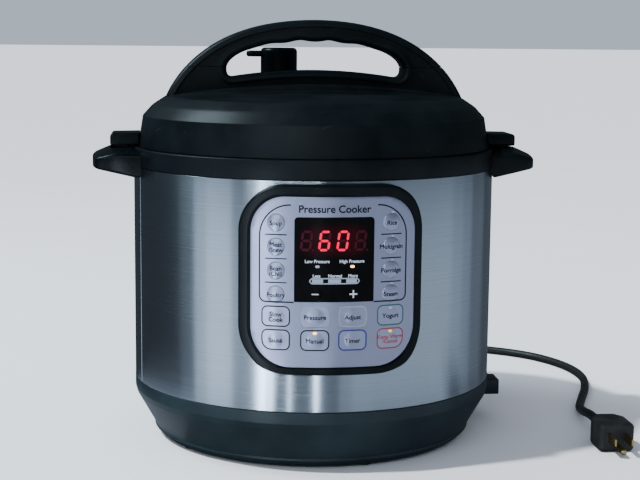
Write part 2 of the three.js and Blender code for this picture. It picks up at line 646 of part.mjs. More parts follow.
// A slotted cap that keeps food out of the steam pipe.
function antiBlockShield() {
  const { x, y } = VALVE;
  const cup = revolve([[0, 219], [10, 219], [11, 220], [11, 229.8], [9.6, 229.8], [9.6, 220.6], [0, 220.6]], 24);
  const slots = [0, 60, 120].map((degrees) => block([-1, 1], [-14, 14], [221.4, 227.5]).rotateZ(radians(degrees)));
  return piece("anti_block_shield", cut(cup, ...slots).translate(x, y, 0), LOOK.polishedSteel);
}

function steamValveWeight() {
  const { x, y, pipe } = VALVE;
  const profile = [
    [pipe + 0.4, 270], [9.4, 270], [9.4, 287], [8.4, 288], [0, 288], [0, 282.5], [pipe + 0.4, 282.5],
  ];
  return piece("steam_valve_weight", revolve(profile, 24).translate(x, y, 0), LOOK.polishedSteel);
}

// The knob with its side lever, hollow around the weight.
function steamReleaseHandle() {
  const { x, y, knob, knobLow, knobHigh, lever } = VALVE;
  const cap = revolve([
    [9.8, knobLow], [knob - 0.8, knobLow], [knob, knobLow + 1], [knob, knobHigh - 3.4], [knob - 1, knobHigh - 1],
    [knob - 3.4, knobHigh], [0, knobHigh], [0, 288.4], [9.8, 288.4],
  ], 32);
  const arm = raise(roundedRectangle(-lever, 0, -6, 6, 4), 288.8, 292.4, 3);
  return piece("steam_release_handle", join(cap, arm).translate(x, y, 0), LOOK.glossPlastic);
}

function floatValve() {
  const { x, y, pin, head } = FLOAT;
  const profile = [[0, 225.6], [head, 225.6], [head, 228], [pin, 228], [pin, 262.4], [0, 262.4]];
  return piece("float_valve", revolve(profile, 12).translate(x, y, 0), LOOK.polishedSteel);
}

// ---------------------------------------------------------------- assembly

const cooker = new THREE.Group();
cooker.position.y = AXIS_Y;
cooker.add(
  baseShell(), bottomPlate(), ...feet(), steelSleeve(), upperCollar(),
  sideHandle("left_handle", -1), sideHandle("right_handle", 1),
  innerHousing(), lidLockRing(), heatShield(), heatingPlate(), sensorSpring(), temperatureSensor(),
  panelBezel(), panelOverlay(), displayWindow(), displayModule(), controlBoard(), ...keys(),
  socketHousing(), inletPins(), leadConnector(), powerLead(), leadPlug(),
  condensationCollector(), innerPot(),
  lidShell(), lidHandle(), handleGrip(), lidFin("left_fin", -1), lidFin("right_fin", 1),
  innerLid(), sealingRing(), ringRack(), steamPipe(), antiBlockShield(),
  steamValveWeight(), steamReleaseHandle(), floatValve(),
);

const part = new THREE.Group();
part.add(cooker);

export default part;
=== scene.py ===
"""Looks of an electric pressure cooker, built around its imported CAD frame.

Shapes are written in millimetres about the pot's upright axis, with z = 0 on the table and the key panel
on the -Y side.  add_piece() turns them into metres and puts them in the row frame.
"""

import json
import math
from contextlib import contextmanager

import bmesh
import bpy
import numpy as np
from mathutils import Matrix, Vector
from mathutils.geometry import delaunay_2d_cdt


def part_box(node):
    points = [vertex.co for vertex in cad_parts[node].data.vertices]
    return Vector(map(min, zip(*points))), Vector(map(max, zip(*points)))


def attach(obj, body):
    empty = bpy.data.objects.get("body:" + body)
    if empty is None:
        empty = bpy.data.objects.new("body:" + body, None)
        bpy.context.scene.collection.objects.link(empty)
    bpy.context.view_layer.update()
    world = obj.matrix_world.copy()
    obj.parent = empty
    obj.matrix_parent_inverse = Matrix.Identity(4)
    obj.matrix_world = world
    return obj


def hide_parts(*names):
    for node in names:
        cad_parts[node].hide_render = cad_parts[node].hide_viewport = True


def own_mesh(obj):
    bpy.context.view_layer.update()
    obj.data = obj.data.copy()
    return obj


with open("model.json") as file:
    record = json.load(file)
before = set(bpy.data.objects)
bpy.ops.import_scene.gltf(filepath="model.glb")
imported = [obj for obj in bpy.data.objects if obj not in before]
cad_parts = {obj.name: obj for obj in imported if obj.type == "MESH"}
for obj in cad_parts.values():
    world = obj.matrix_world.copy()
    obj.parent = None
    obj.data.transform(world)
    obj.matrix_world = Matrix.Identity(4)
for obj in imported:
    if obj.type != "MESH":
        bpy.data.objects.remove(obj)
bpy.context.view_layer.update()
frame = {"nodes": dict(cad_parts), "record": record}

MM = 0.001
SLEEVE_LOW, SLEEVE_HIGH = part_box("steel_sleeve")
AXIS = Vector((0.0, (SLEEVE_LOW.y + SLEEVE_HIGH.y) / 2, 0.0))
BODY_OF = {node: body for body, nodes in frame["record"]["behaviour"]["bodies"].items() for node in nodes}


def new_object(name, data, place=(0, 0, 0)):
    """Puts a new object into the scene, at a place in the row frame."""
    made = bpy.data.objects.new(name, data)
    made.location = place
    bpy.context.scene.collection.objects.link(made)
    return made


@contextmanager
def editing(mesh):
    """Opens a mesh for changes, and writes them back at the end."""
    build = bmesh.new()
    build.from_mesh(mesh)
    yield build
    build.to_mesh(mesh)
    build.free()


# ---------------------------------------------------------------- camera

CAMERA_PLACE = Vector((-0.1133, -1.0960, 0.3045))
CAMERA_HEADING = math.radians(6.2)  # from +Y towards +X
CAMERA_DIP = math.radians(8.11)
CAMERA_ROLL = math.radians(0.54)
CAMERA_LENS = 80.3
CAMERA_SENSOR = 36.0


def add_camera():
    """The camera stands where the photograph was taken from."""
    data = bpy.data.cameras.new("camera")
    data.lens = CAMERA_LENS
    data.sensor_width = CAMERA_SENSOR
    camera = new_object("camera", data, AXIS + CAMERA_PLACE)
    level_view = Matrix.Rotation(math.pi / 2 - CAMERA_DIP, 4, "X")
    heading = Matrix.Rotation(-CAMERA_HEADING, 4, "Z")
    roll = Matrix.Rotation(CAMERA_ROLL, 4, "Z")
    camera.rotation_euler = (heading @ level_view @ roll).to_euler()
    bpy.context.scene.camera = camera


add_camera()

# ---------------------------------------------------------------- shapes


class Skin:
    """Points and faces of closed shapes, in millimetres about the pot's axis."""

    def __init__(self):
        self.points = []
        self.faces = []

    def add(self, points):
        start = len(self.points)
        self.points.extend(tuple(p) for p in points)
        return list(range(start, len(self.points)))

    def bridge(self, first, second):
        """Joins two loops of equal length, or a loop and a single point."""
        count = max(len(first), len(second))
        if count == 1:
            return
        first, second = [ring * count if len(ring) == 1 else ring for ring in (first, second)]
        for i in range(count):
            j = (i + 1) % count
            self.faces.append(list(dict.fromkeys([first[i], first[j], second[j], second[i]])))

    def merge(self, other):
        start = len(self.points)
        self.points.extend(other.points)
        self.faces.extend([k + start for k in face] for face in other.faces)
        return self

    def mapped(self, place):
        self.points = [tuple(place(*p)) for p in self.points]
        return self


def rounded(corners, closed=True, steps=5):
    """A path of straight runs with an arc at each corner whose third value is a fillet radius."""
    path = []
    count = len(corners)
    for i, corner in enumerate(corners):
        here = Vector(corner[:2])
        fillet = corner[2] if len(corner) > 2 else 0
        if fillet == 0 or (not closed and i in (0, count - 1)):
            path.append(here)
            continue
        back = Vector(corners[i - 1][:2]) - here
        ahead = Vector(corners[(i + 1) % count][:2]) - here
        half_turn = (math.pi - back.angle(ahead)) / 2
        back_share = 0.99 if not closed and i == 1 else 0.49
        ahead_share = 0.99 if not closed and i == count - 2 else 0.49
        reach = min(fillet * math.tan(half_turn), back_share * back.length, ahead_share * ahead.length)
        radius = reach / math.tan(half_turn)
        middle = (back.normalized() + ahead.normalized()).normalized()
        centre = here + middle * radius / math.cos(half_turn)
        spoke = here + back.normalized() * reach - centre
        side = 1 if (-back).cross(ahead) > 0 else -1
        for k in range(steps + 1):
            path.append(centre + Matrix.Rotation(side * 2 * half_turn * k / steps, 2) @ spoke)
    return path


def arc(radius, first, last, steps):
    """Points on an arc, from one angle to another in degrees."""
    angles = [math.radians(first + (last - first) * k / steps) for k in range(steps + 1)]
    return [Vector((radius * math.cos(a), radius * math.sin(a))) for a in angles]


def circle(radius, count=32):
    return arc(radius, 0, 360, count)[:-1]


def bezier(start, lean_out, lean_in, end, steps):
    """Points on a cubic curve."""
    corners = [Vector(p) for p in (start, lean_out, lean_in, end)]
    points = []
    for k in range(steps + 1):
        t = k / steps
        weights = ((1 - t) ** 3, 3 * t * (1 - t) ** 2, 3 * t * t * (1 - t), t ** 3)
        points.append(sum((w * p for w, p in zip(weights, corners)), Vector((0, 0))))
    return points


def quadratic(start, lean, end, steps):
    """Points on a curve that leaves and arrives pointing at lean."""
    middle_out = Vector(start).lerp(Vector(lean), 2 / 3)
    middle_in = Vector(end).lerp(Vector(lean), 2 / 3)
    return bezier(start, middle_out, middle_in, end, steps)


def rounded_box(x0, x1, y0, y1, corner, steps=6):
    """A counter-clockwise rectangle.  corner is one fillet, or four from the lower left round."""
    fillets = corner if isinstance(corner, tuple) else (corner,) * 4
    return rounded([(x0, y0, fillets[0]), (x1, y0, fillets[1]), (x1, y1, fillets[2]), (x0, y1, fillets[3])],
                   steps=steps)


def dense(points, step=1.0):
    """The same open path with a point at least every step."""
    path = []
    for a, b in zip(points, points[1:]):
        parts = max(1, math.ceil((b - a).length / step))
        path += [a.lerp(b, k / parts) for k in range(parts)]
    return [*path, points[-1]]


def dense_loop(loop, step=1.0):
    return dense([*loop, loop[0]], step)[:-1]


def offset(loop, inset):
    """A counter-clockwise loop moved inwards, or outwards where inset is negative."""
    moved = []
    for i, here in enumerate(loop):
        back = (here - loop[i - 1]).normalized()
        ahead = (loop[(i + 1) % len(loop)] - here).normalized()
        first = Vector((-back.y, back.x))
        second = Vector((-ahead.y, ahead.x))
        middle = (first + second).normalized()
        moved.append(here + middle * inset / max(0.3, middle.dot(first)))
    return moved


def inside(points, loops):
    """Which of the points have an odd number of loop edges on their right."""
    x, y = points[:, 0:1], points[:, 1:2]
    odd = np.zeros(len(points), bool)
    for loop in loops:
        a = np.array(loop)
        b = np.roll(a, -1, axis=0)
        crosses = (a[:, 1] > y) != (b[:, 1] > y)
        rise = np.where(b[:, 1] == a[:, 1], 1, b[:, 1] - a[:, 1])
        at = (b[:, 0] - a[:, 0]) * (y - a[:, 1]) / rise + a[:, 0]
        odd ^= (crosses & (x < at)).sum(axis=1) % 2 == 1
    return odd


def filled(loops, spacing=None):
    """Triangles over the area inside the first loop and outside the others, as indices into its points."""
    points = [p for loop in loops for p in loop]
    edges = []
    start = 0
    for loop in loops:
        count = len(loop)
        edges += [(start + i, start + (i + 1) % count) for i in range(count)]
        start += count
    if spacing:
        low = np.min(np.array(loops[0]), axis=0)
        high = np.max(np.array(loops[0]), axis=0)
        grid = [(x, y) for x in np.arange(low[0] + spacing / 2, high[0], spacing)
                for y in np.arange(low[1] + spacing / 2, high[1], spacing)]
        clear = [offset(loops[0], 0.4 * spacing)] + [offset(hole, -0.4 * spacing) for hole in loops[1:]]
        keep = inside(np.array(grid).reshape(-1, 2), clear)
        points += [Vector(p) for p, kept in zip(grid, keep) if kept]
    corners, _, triangles, origins, _, _ = delaunay_2d_cdt(points, edges, [], 0, 1e-6)
    flat = np.array([[c.x, c.y] for c in corners])
    middles = np.array([flat[list(t)].mean(axis=0) for t in triangles])
    keep = inside(middles, loops)
    for k, corner in enumerate(corners):
        if not origins[k]:
            raise ValueError(f"the outline crosses itself near {corner[:]}")
    faces = [[origins[k][0] for k in t] for t, kept in zip(triangles, keep) if kept]
    return points, faces


def slab(outline, near, far, rim, holes=(), hole_rim=((0, 0),), spacing=None):
    """A plate with the given outline, from w = near to w = far.  A rim is the edge's section, as
    (inset, depth) points from the flat face to the side."""
    skin = Skin()
    side = 1 if far > near else -1
    edges = [(outline, [(inset, depth) for inset, depth in rim])]
    edges += [(hole, [(-inset, depth) for inset, depth in hole_rim]) for hole in holes]
    faces_at = {near: [], far: []}
    for loop, section in edges:
        rings = []
        for face, direction in ((near, side), (far, -side)):
            half = []
            for inset, depth in section:
                level = face + direction * depth
                half.append(skin.add((p.x, p.y, level) for p in offset(loop, inset)))
            faces_at[face].append(half[0])
            rings += half if face == near else half[::-1]
        for first, second in zip(rings, rings[1:]):
            skin.bridge(first, second)
    loops = [offset(loop, section[0][0]) for loop, section in edges]
    points, triangles = filled(loops, spacing)
    for face, rings in faces_at.items():
        known = [k for ring in rings for k in ring]
        level = skin.points[known[0]][2]
        known += skin.add((p.x, p.y, level) for p in points[len(known):])
        skin.faces += [[known[k] for k in triangle] for triangle in triangles]
    return skin


def round_rim(radius, steps=4):
    """A slab edge rounded to a quarter circle."""
    turns = [math.pi / 2 * k / steps for k in range(steps + 1)]
    return [(radius * (1 - math.sin(a)), radius * (1 - math.cos(a))) for a in turns]


def hoop(outline, section):
    """A closed section of (inset, level) points carried round an outline."""
    skin = Skin()
    rings = [skin.add((p.x, p.y, level) for p in offset(outline, inset)) for inset, level in section]
    for first, second in zip(rings, rings[1:] + rings[:1]):
        skin.bridge(first, second)
    return skin


def turned(corners, count=144, steps=4):
    """A closed (radius, height, fillet) profile turned about the Z axis."""
    skin = Skin()
    rings = []
    for r, z in rounded(corners, steps=steps):
        ring = [(r * c.x, r * c.y, z) for c in circle(1, count)] if r > 1e-6 else [(0, 0, z)]
        rings.append(skin.add(ring))
    for first, second in zip(rings, rings[1:] + rings[:1]):
        skin.bridge(first, second)
    return skin


def moved(x, y):
    """Moves a shape that was drawn about the pot's axis."""
    return lambda u, v, w: (u + x, v + y, w)


def lying_along_y(x, y, z, way=1):
    """Lays a turned shape down, so that its axis runs along +Y, or -Y where way is -1."""
    return lambda u, v, w: (x + u, y + way * w, z + v)


def seen_from_front(u, v, w):
    """An outline drawn as (x, z), with its thickness along Y."""
    return (u, w, v)


BAR_SIDES = 8


def swept(path, radius):
    """A round bar along a path of 3-D points."""
    skin = Skin()
    rings = []
    across = (path[1] - path[0]).orthogonal()
    for i, here in enumerate(path):
        along = (path[min(i + 1, len(path) - 1)] - path[max(i - 1, 0)]).normalized()
        across = (across - along * across.dot(along)).normalized()
        up = along.cross(across)
        rings.append(skin.add(here + radius * (across * c.x + up * c.y) for c in circle(1, BAR_SIDES)))
    for first, second in zip(rings, rings[1:]):
        skin.bridge(first, second)
    skin.faces += [rings[0], rings[-1]]
    return skin


SHARP_EDGE = math.radians(38)
FLAT_EDGE = math.radians(1)
WELD = 1e-7
CAD_WELD = 2e-6


def finish_mesh(mesh):
    """Welds, points the faces outwards and smooths all but the sharp edges."""
    with editing(mesh) as build:
        bmesh.ops.remove_doubles(build, verts=build.verts, dist=WELD)
        bmesh.ops.recalc_face_normals(build, faces=build.faces)
    mesh.shade_smooth()
    mesh.set_sharp_from_angle(angle=SHARP_EDGE)


def add_mesh(name, mesh, body, slot=None, material=None, replaces=()):
    """Puts a mesh about the pot's axis into the row frame, on a CAD body."""
    finish_mesh(mesh)
    mesh.materials.clear()
    mesh.materials.append(material or FINISHES[slot])
    piece = new_object(name, mesh, AXIS)
    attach(piece, body)
    if replaces:
        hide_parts(*replaces)
    return piece


def mesh_of(name, skin):
    mesh = bpy.data.meshes.new(name)
    mesh.from_pydata([Vector(p) * MM for p in skin.points], [], skin.faces)
    return mesh


def add_piece(node, skin, slot, cut=None):
    """The detailed piece that stands for a CAD node.  cut is a height and the side of it that stays."""
    mesh = mesh_of(node + "_look", skin)
    if cut:
        keep_side_of(mesh, *cut)
    return add_mesh(node + "_look", mesh, BODY_OF[node], slot, replaces=(node,))


def keep_side_of(mesh, height, above):
    """Cuts a mesh at a height and caps it."""
    with editing(mesh) as build:
        bmesh.ops.remove_doubles(build, verts=build.verts, dist=WELD)
        geometry = build.verts[:] + build.edges[:] + build.faces[:]
        sliced = bmesh.ops.bisect_plane(build, geom=geometry, plane_co=(0, 0, height * MM),
                                        plane_no=(0, 0, 1), clear_inner=above, clear_outer=not above)
        rim = [e for e in sliced["geom_cut"] if isinstance(e, bmesh.types.BMEdge)]
        bmesh.ops.holes_fill(build, edges=rim, sides=0)


def evaluated_mesh(thing):
    """A mesh of what an object looks like with its modifiers, or of a text."""
    bpy.context.view_layer.update()
    return bpy.data.meshes.new_from_object(thing.evaluated_get(bpy.context.evaluated_depsgraph_get()))


def bore(piece, holes, low, high):
    """Bores upright holes, given as (x, y, radius), through a piece."""
    drills = Skin()
    for x, y, radius in holes:
        drill = turned([(0, low), (radius, low), (radius, high), (0, high)], 32)
        drills.merge(drill.mapped(moved(x, y)))
    mesh = mesh_of("drills", drills)
    finish_mesh(mesh)
    tool = new_object("drills", mesh, AXIS)
    modifier = piece.modifiers.new("bores", "BOOLEAN")
    modifier.object = tool
    modifier.solver = "EXACT"
    shape = evaluated_mesh(piece)
    piece.modifiers.clear()
    piece.data = shape
    shape.set_sharp_from_angle(angle=SHARP_EDGE)
    bpy.data.objects.remove(tool)


def add_softened(node, slot, width):
    """A CAD node's own shape with its facets joined and its edges broken."""
    mesh = frame["nodes"][node].data.copy()
    mesh.transform(Matrix.Translation(-AXIS))
    with editing(mesh) as build:
        bmesh.ops.remove_doubles(build, verts=build.verts, dist=CAD_WELD)
        bmesh.ops.dissolve_limit(build, angle_limit=FLAT_EDGE, verts=build.verts, edges=build.edges)
        sharp = [e for e in build.edges if len(e.link_faces) == 2 and e.calc_face_angle(0) > SHARP_EDGE]
        bmesh.ops.bevel(build, geom=sharp, offset=width * MM, segments=2, profile=0.5, affect="EDGES",
                        clamp_overlap=True)
    add_mesh(node + "_look", mesh, BODY_OF[node], slot, replaces=(node,))


# ---------------------------------------------------------------- materials


class Finish:
    """A Principled material that is being wired up."""

    def __init__(self, name, color, roughness, metallic=0.0):
        self.material = bpy.data.materials.new(name)
        self.material.use_nodes = True
        self.tree = self.material.node_tree
        self.shader = self.tree.nodes["Principled BSDF"]
        self.set("Base Color", (*color, 1))
        self.set("Roughness", roughness)
        self.set("Metallic", metallic)

    def set(self, socket, value):
        self.shader.inputs[socket].default_value = value
        return self

    def link(self, value, socket):
        self.tree.links.new(value, self.shader.inputs[socket])
        return self

    def node(self, kind, settings=None, **inputs):
        made = self.tree.nodes.new(kind)
        for key, value in (settings or {}).items():
            setattr(made, key, value)
        for key, value in inputs.items():
            socket = made.inputs[int(key[1:])] if key[0] == "_" else made.inputs[key]
            if isinstance(value, bpy.types.NodeSocket):
                self.tree.links.new(value, socket)
            else:
                socket.default_value = value
        return made

    def math(self, operation, first, second=0.0):
        return self.node("ShaderNodeMath", {"operation": operation}, _0=first, _1=second).outputs[0]

    def place(self, x=1.0, y=1.0, z=1.0):
        """Object space, in metres, stretched along each axis."""
        place = self.node("ShaderNodeTexCoord").outputs["Object"]
        return self.node("ShaderNodeMapping", Vector=place, Scale=(x, y, z)).outputs[0]

    def around(self, along=1.0, up=1.0, out=1.0):
        """Distance round the pot's axis, height and distance from it, each stretched."""
        place = self.node("ShaderNodeTexCoord").outputs["Object"]
        split = self.node("ShaderNodeSeparateXYZ", Vector=place).outputs
        angle = self.math("ARCTAN2", split[0], split[1])
        reach = self.math("SQRT", self.math("ADD", self.math("MULTIPLY", split[0], split[0]),
                                            self.math("MULTIPLY", split[1], split[1])))
        girth = (SLEEVE_HIGH.x - SLEEVE_LOW.x) / 2
        arc_length = self.math("MULTIPLY", angle, girth * along)
        height = self.math("MULTIPLY", split[2], up)
        depth = self.math("MULTIPLY", reach, out)
        return self.node("ShaderNodeCombineXYZ", X=arc_length, Y=height, Z=depth).outputs[0]

    def noise(self, place, scale, detail=3.0, roughness=0.5):
        return self.node("ShaderNodeTexNoise", Vector=place, Scale=scale, Detail=detail,
                         Roughness=roughness).outputs["Fac"]

    def mottle(self, scale, detail=3.0, roughness=0.5):
        """Noise of the same size every way."""
        return self.noise(self.place(), scale, detail, roughness)

    def cells(self, place, scale):
        """How far each place is from the middle of its cell, and a random number for the cell."""
        made = self.node("ShaderNodeTexVoronoi", Vector=place, Scale=scale)
        color = self.node("ShaderNodeSeparateColor", Color=made.outputs["Color"])
        return made.outputs["Distance"], color.outputs[0]

    def levels(self, value, low, high, to_low=0.0, to_high=1.0, smooth=False):
        made = self.node("ShaderNodeMapRange", {"interpolation_type": "SMOOTHSTEP" if smooth else "LINEAR"})
        for socket, number in ((1, low), (2, high), (3, to_low), (4, to_high)):
            made.inputs[socket].default_value = number
        self.tree.links.new(value, made.inputs[0])
        return made.outputs[0]

    def blend(self, factor, first, second):
        made = self.node("ShaderNodeMix", {"data_type": "RGBA"})
        for socket, value in ((0, factor), (6, first), (7, second)):
            if isinstance(value, bpy.types.NodeSocket):
                self.tree.links.new(value, made.inputs[socket])
            else:
                made.inputs[socket].default_value = (*value, 1) if isinstance(value, tuple) else value
        return made.outputs[2]

    def paint(self, color):
        return self.link(color, "Base Color")

    def roughen(self, value):
        return self.link(value, "Roughness")

    def relief(self, height, distance, strength=1.0):
        """Bumps of the given depth in millimetres, on top of any that are there."""
        made = self.node("ShaderNodeBump", Height=height, Distance=distance * MM, Strength=strength)
        before = self.shader.inputs["Normal"].links
        if before:
            self.tree.links.new(before[0].from_socket, made.inputs["Normal"])
        return self.link(made.outputs[0], "Normal")

    def scratches(self, place, scale, thickness=0.004, share=0.6):
        """Thin hairlines in a few patches: the places where a stretched noise is near its middle value."""
        line = self.math("ABSOLUTE", self.math("SUBTRACT", self.noise(place, scale, 1.0, 0.3), 0.5))
        thin = self.levels(line, 0.0, thickness, 1.0, 0.0)
        patch = self.levels(self.noise(place, scale * 2.7, 2.0), share, share + 0.06, smooth=True)
        return self.math("MULTIPLY", thin, patch)

    def specks(self, place, scale, size=0.12, share=0.9):
        """Small dots in a few of the cells."""
        reach, chance = self.cells(place, scale)
        dot = self.levels(reach, size * 0.4, size, 1.0, 0.0)
        return self.math("MULTIPLY", dot, self.levels(chance, share, share + 0.02))


def moulded_plastic(name, color, roughness, grain=0.012, shine=0.16):
    """Black moulded plastic: a fine spark-eroded grain, cloudy gloss, dust and a few hairlines."""
    finish = Finish(name, color, roughness)
    place = finish.place()
    cloud = finish.noise(place, 26, 4.0, 0.6)
    lighter = tuple(1.5 * c + 0.002 for c in color)
    paint = finish.blend(finish.levels(cloud, 0.35, 0.7), color, lighter)
    rough = finish.levels(cloud, 0.3, 0.75, roughness - 0.05, roughness + 0.07)
    marks = finish.scratches(finish.place(1.0, 1.6, 3.1), 14)
    dust = finish.specks(place, 260)
    paint = finish.blend(finish.math("MULTIPLY", marks, 0.12), paint, (0.09, 0.1, 0.1))
    paint = finish.blend(finish.math("MULTIPLY", dust, 0.3), paint, (0.12, 0.13, 0.13))
    finish.paint(paint).roughen(rough)
    finish.relief(finish.noise(place, 2400, 2.0, 0.6), grain)
    finish.set("Specular IOR Level", shine)
    return finish.material


def matte_black():
    return moulded_plastic("matte_black", (0.0022, 0.0042, 0.0055), 0.4)


def base_plastic():
    return moulded_plastic("base_plastic", (0.007, 0.015, 0.019), 0.42, grain=0.02, shine=0.3)


def gloss_black():
    return moulded_plastic("gloss_black", (0.0012, 0.0028, 0.0036), 0.3, grain=0.003, shine=0.15)


def brushed_steel():
    """Steel brushed round the body, with long fine grooves and a slightly uneven sheen."""
    finish = Finish("brushed_steel", (0.56, 0.58, 0.6), 0.34, 1.0)
    fine = finish.noise(finish.around(14, 5200), 1, 2.0, 0.7)
    broad = finish.noise(finish.around(3, 900, 0), 1, 3.0, 0.6)
    cloud = finish.noise(finish.around(9, 13), 1, 3.0, 0.5)
    fine_share = finish.math("MULTIPLY", fine, 0.6)
    grooves = finish.math("ADD", fine_share, finish.math("MULTIPLY", broad, 0.4))
    shade = finish.blend(finish.levels(grooves, 0.35, 0.65), (0.47, 0.53, 0.6), (0.6, 0.66, 0.73))
    marks = finish.specks(finish.around(1, 1), 150, 0.1, 0.93)
    shade = finish.blend(finish.math("MULTIPLY", marks, 0.35), shade, (0.75, 0.78, 0.8))
    finish.paint(shade)
    finish.roughen(finish.levels(finish.math("ADD", cloud, grooves), 0.7, 1.3, 0.21, 0.29))
    finish.relief(grooves, 0.003, 0.5)
    finish.set("Anisotropic", 0.96)
    finish.set("Anisotropic Rotation", 0.25)
    tangent = finish.node("ShaderNodeTangent", {"direction_type": "RADIAL", "axis": "Z"})
    finish.link(tangent.outputs[0], "Tangent")
    return finish.material


def polished_steel():
    """Spun and polished steel: faint turning marks and smudges."""
    finish = Finish("polished_steel", (0.66, 0.67, 0.68), 0.2, 1.0)
    marks = finish.noise(finish.around(4, 1600, 1600), 1, 2.0, 0.6)
    smudge = finish.mottle(32, 4.0, 0.6)
    finish.paint(finish.blend(finish.levels(marks, 0.3, 0.7), (0.58, 0.59, 0.6), (0.7, 0.71, 0.72)))
    finish.roughen(finish.levels(smudge, 0.3, 0.75, 0.13, 0.3))
    finish.relief(marks, 0.003, 0.5)
    return finish.material


def galvanised():
    """Zinc-coated sheet with its crystal pattern."""
    finish = Finish("galvanised", (0.42, 0.44, 0.45), 0.42, 0.9)
    _, crystals = finish.cells(finish.place(), 190)
    finish.paint(finish.blend(crystals, (0.33, 0.35, 0.36), (0.5, 0.52, 0.53)))
    finish.roughen(finish.levels(crystals, 0, 1, 0.32, 0.55))
    finish.relief(finish.mottle(900, 2.0), 0.01)
    return finish.material


def cast_aluminium():
    """Machined casting: turning rings over a grainy surface."""
    finish = Finish("cast_aluminium", (0.5, 0.5, 0.51), 0.42, 1.0)
    rings = finish.noise(finish.around(0.5, 1, 2600), 1, 1.0)
    grain = finish.mottle(1300, 3.0, 0.6)
    finish.paint(finish.blend(grain, (0.42, 0.42, 0.43), (0.56, 0.56, 0.57)))
    finish.roughen(finish.levels(rings, 0.3, 0.7, 0.34, 0.52))
    finish.relief(rings, 0.01, 0.6)
    finish.relief(grain, 0.01, 0.5)
    return finish.material


def panel_film(name, color):
    """Silver polyester film: a fine metallic flake, a soft cloud and light rub marks."""
    finish = Finish(name, color, 0.36, 0.8)
    flake = finish.mottle(5200, 1.0, 0.5)
    cloud = finish.mottle(42, 4.0, 0.6)
    darker = tuple(0.86 * c for c in color)
    paint = finish.blend(finish.levels(flake, 0.25, 0.75), darker, color)
    lighter = tuple(1.15 * c for c in color)
    paint = finish.blend(finish.levels(cloud, 0.45, 0.8, 0, 0.25), paint, lighter)
    rubs = finish.scratches(finish.place(2.2, 1.0, 0.8), 30, 0.006, 0.62)
    finish.paint(finish.blend(finish.math("MULTIPLY", rubs, 0.4), paint, (0.72, 0.71, 0.78)))
    finish.roughen(finish.levels(cloud, 0.3, 0.8, 0.3, 0.44))
    finish.relief(finish.mottle(1500, 2.0), 0.004)
    return finish.material


def overlay():
    return panel_film("overlay", (0.37, 0.385, 0.53))


def keys():
    return panel_film("keys", (0.42, 0.44, 0.6))


def window():
    """Smoked glossy window, with a faint red glow behind the digits."""
    finish = Finish("window", (0.0025, 0.0025, 0.003), 0.12)
    smear = finish.mottle(55, 3.0, 0.6)
    finish.roughen(finish.levels(smear, 0.3, 0.8, 0.2, 0.3))
    finish.paint(finish.blend(smear, (0.002, 0.002, 0.0024), (0.0045, 0.0045, 0.005)))
    split = finish.node("ShaderNodeSeparateXYZ", Vector=finish.place()).outputs
    from_middle = finish.math("SUBTRACT", split[2], DIGITS["middle"] * MM)
    across = finish.levels(finish.math("ABSOLUTE", split[0]), 0.011, 0.026, 1.0, 0.0, smooth=True)
    up = finish.levels(finish.math("ABSOLUTE", from_middle), 0.006, 0.013, 1.0, 0.0, smooth=True)
    glow = finish.blend(finish.math("MULTIPLY", across, up), (0.0, 0.0, 0.0), (0.022, 0.0, 0.002))
    finish.link(glow, "Emission Color").set("Emission Strength", 1.0)
    finish.set("Specular IOR Level", 0.04)
    return finish.material


def board():
    """Green solder mask over copper tracks."""
    finish = Finish("board", (0.012, 0.11, 0.03), 0.35)
    tracks = finish.node("ShaderNodeTexBrick", {"offset": 0.37}, Vector=finish.place(), Scale=150.0,
                         Color1=(0, 0, 0, 1), Color2=(0.3, 0.3, 0.3, 1), Mortar=(1, 1, 1, 1))
    tracks.inputs["Mortar Size"].default_value = 0.05
    finish.paint(finish.blend(tracks.outputs[0], (0.01, 0.09, 0.025), (0.03, 0.2, 0.06)))
    finish.relief(tracks.outputs[0], 0.03)
    return finish.material


def display():
    """The red tinted face of the digit block."""
    finish = Finish("display", (0.04, 0.002, 0.004), 0.3)
    grain = finish.mottle(700, 3.0)
    finish.paint(finish.blend(grain, (0.03, 0.001, 0.003), (0.06, 0.003, 0.006)))
    finish.relief(grain, 0.01)
    return finish.material


def silicone():
    """Milky silicone rubber."""
    finish = Finish("silicone", (0.72, 0.74, 0.72), 0.5)
    cloud = finish.mottle(60, 4.0)
    finish.paint(finish.blend(cloud, (0.66, 0.68, 0.66), (0.78, 0.8, 0.78)))
    finish.roughen(finish.levels(cloud, 0.3, 0.7, 0.42, 0.6))
    finish.relief(finish.mottle(800, 2.0), 0.01)
    finish.set("Subsurface Weight", 0.25)
    finish.set("Subsurface Radius", (0.004, 0.004, 0.004))
    return finish.material


def clear_cup():
    """Clear polypropylene, slightly hazy, with fine water marks."""
    finish = Finish("clear_cup", (0.86, 0.9, 0.9), 0.12)
    haze = finish.mottle(70, 4.0, 0.6)
    finish.paint(finish.blend(haze, (0.8, 0.85, 0.86), (0.92, 0.95, 0.95)))
    finish.roughen(finish.levels(haze, 0.35, 0.75, 0.07, 0.24))
    finish.relief(finish.mottle(420, 3.0), 0.01)
    finish.set("Transmission Weight", 0.92)
    finish.set("IOR", 1.49)
    return finish.material


def rubber():
    """Soft black rubber with a dry, dusty surface."""
    finish = Finish("rubber", (0.011, 0.012, 0.013), 0.7)
    cloud = finish.mottle(75, 5.0, 0.65)
    finish.paint(finish.blend(finish.levels(cloud, 0.4, 0.8), (0.009, 0.01, 0.011), (0.026, 0.027, 0.028)))
    finish.roughen(finish.levels(cloud, 0.3, 0.8, 0.55, 0.82))
    finish.relief(finish.mottle(1500, 3.0, 0.6), 0.025)
    return finish.material


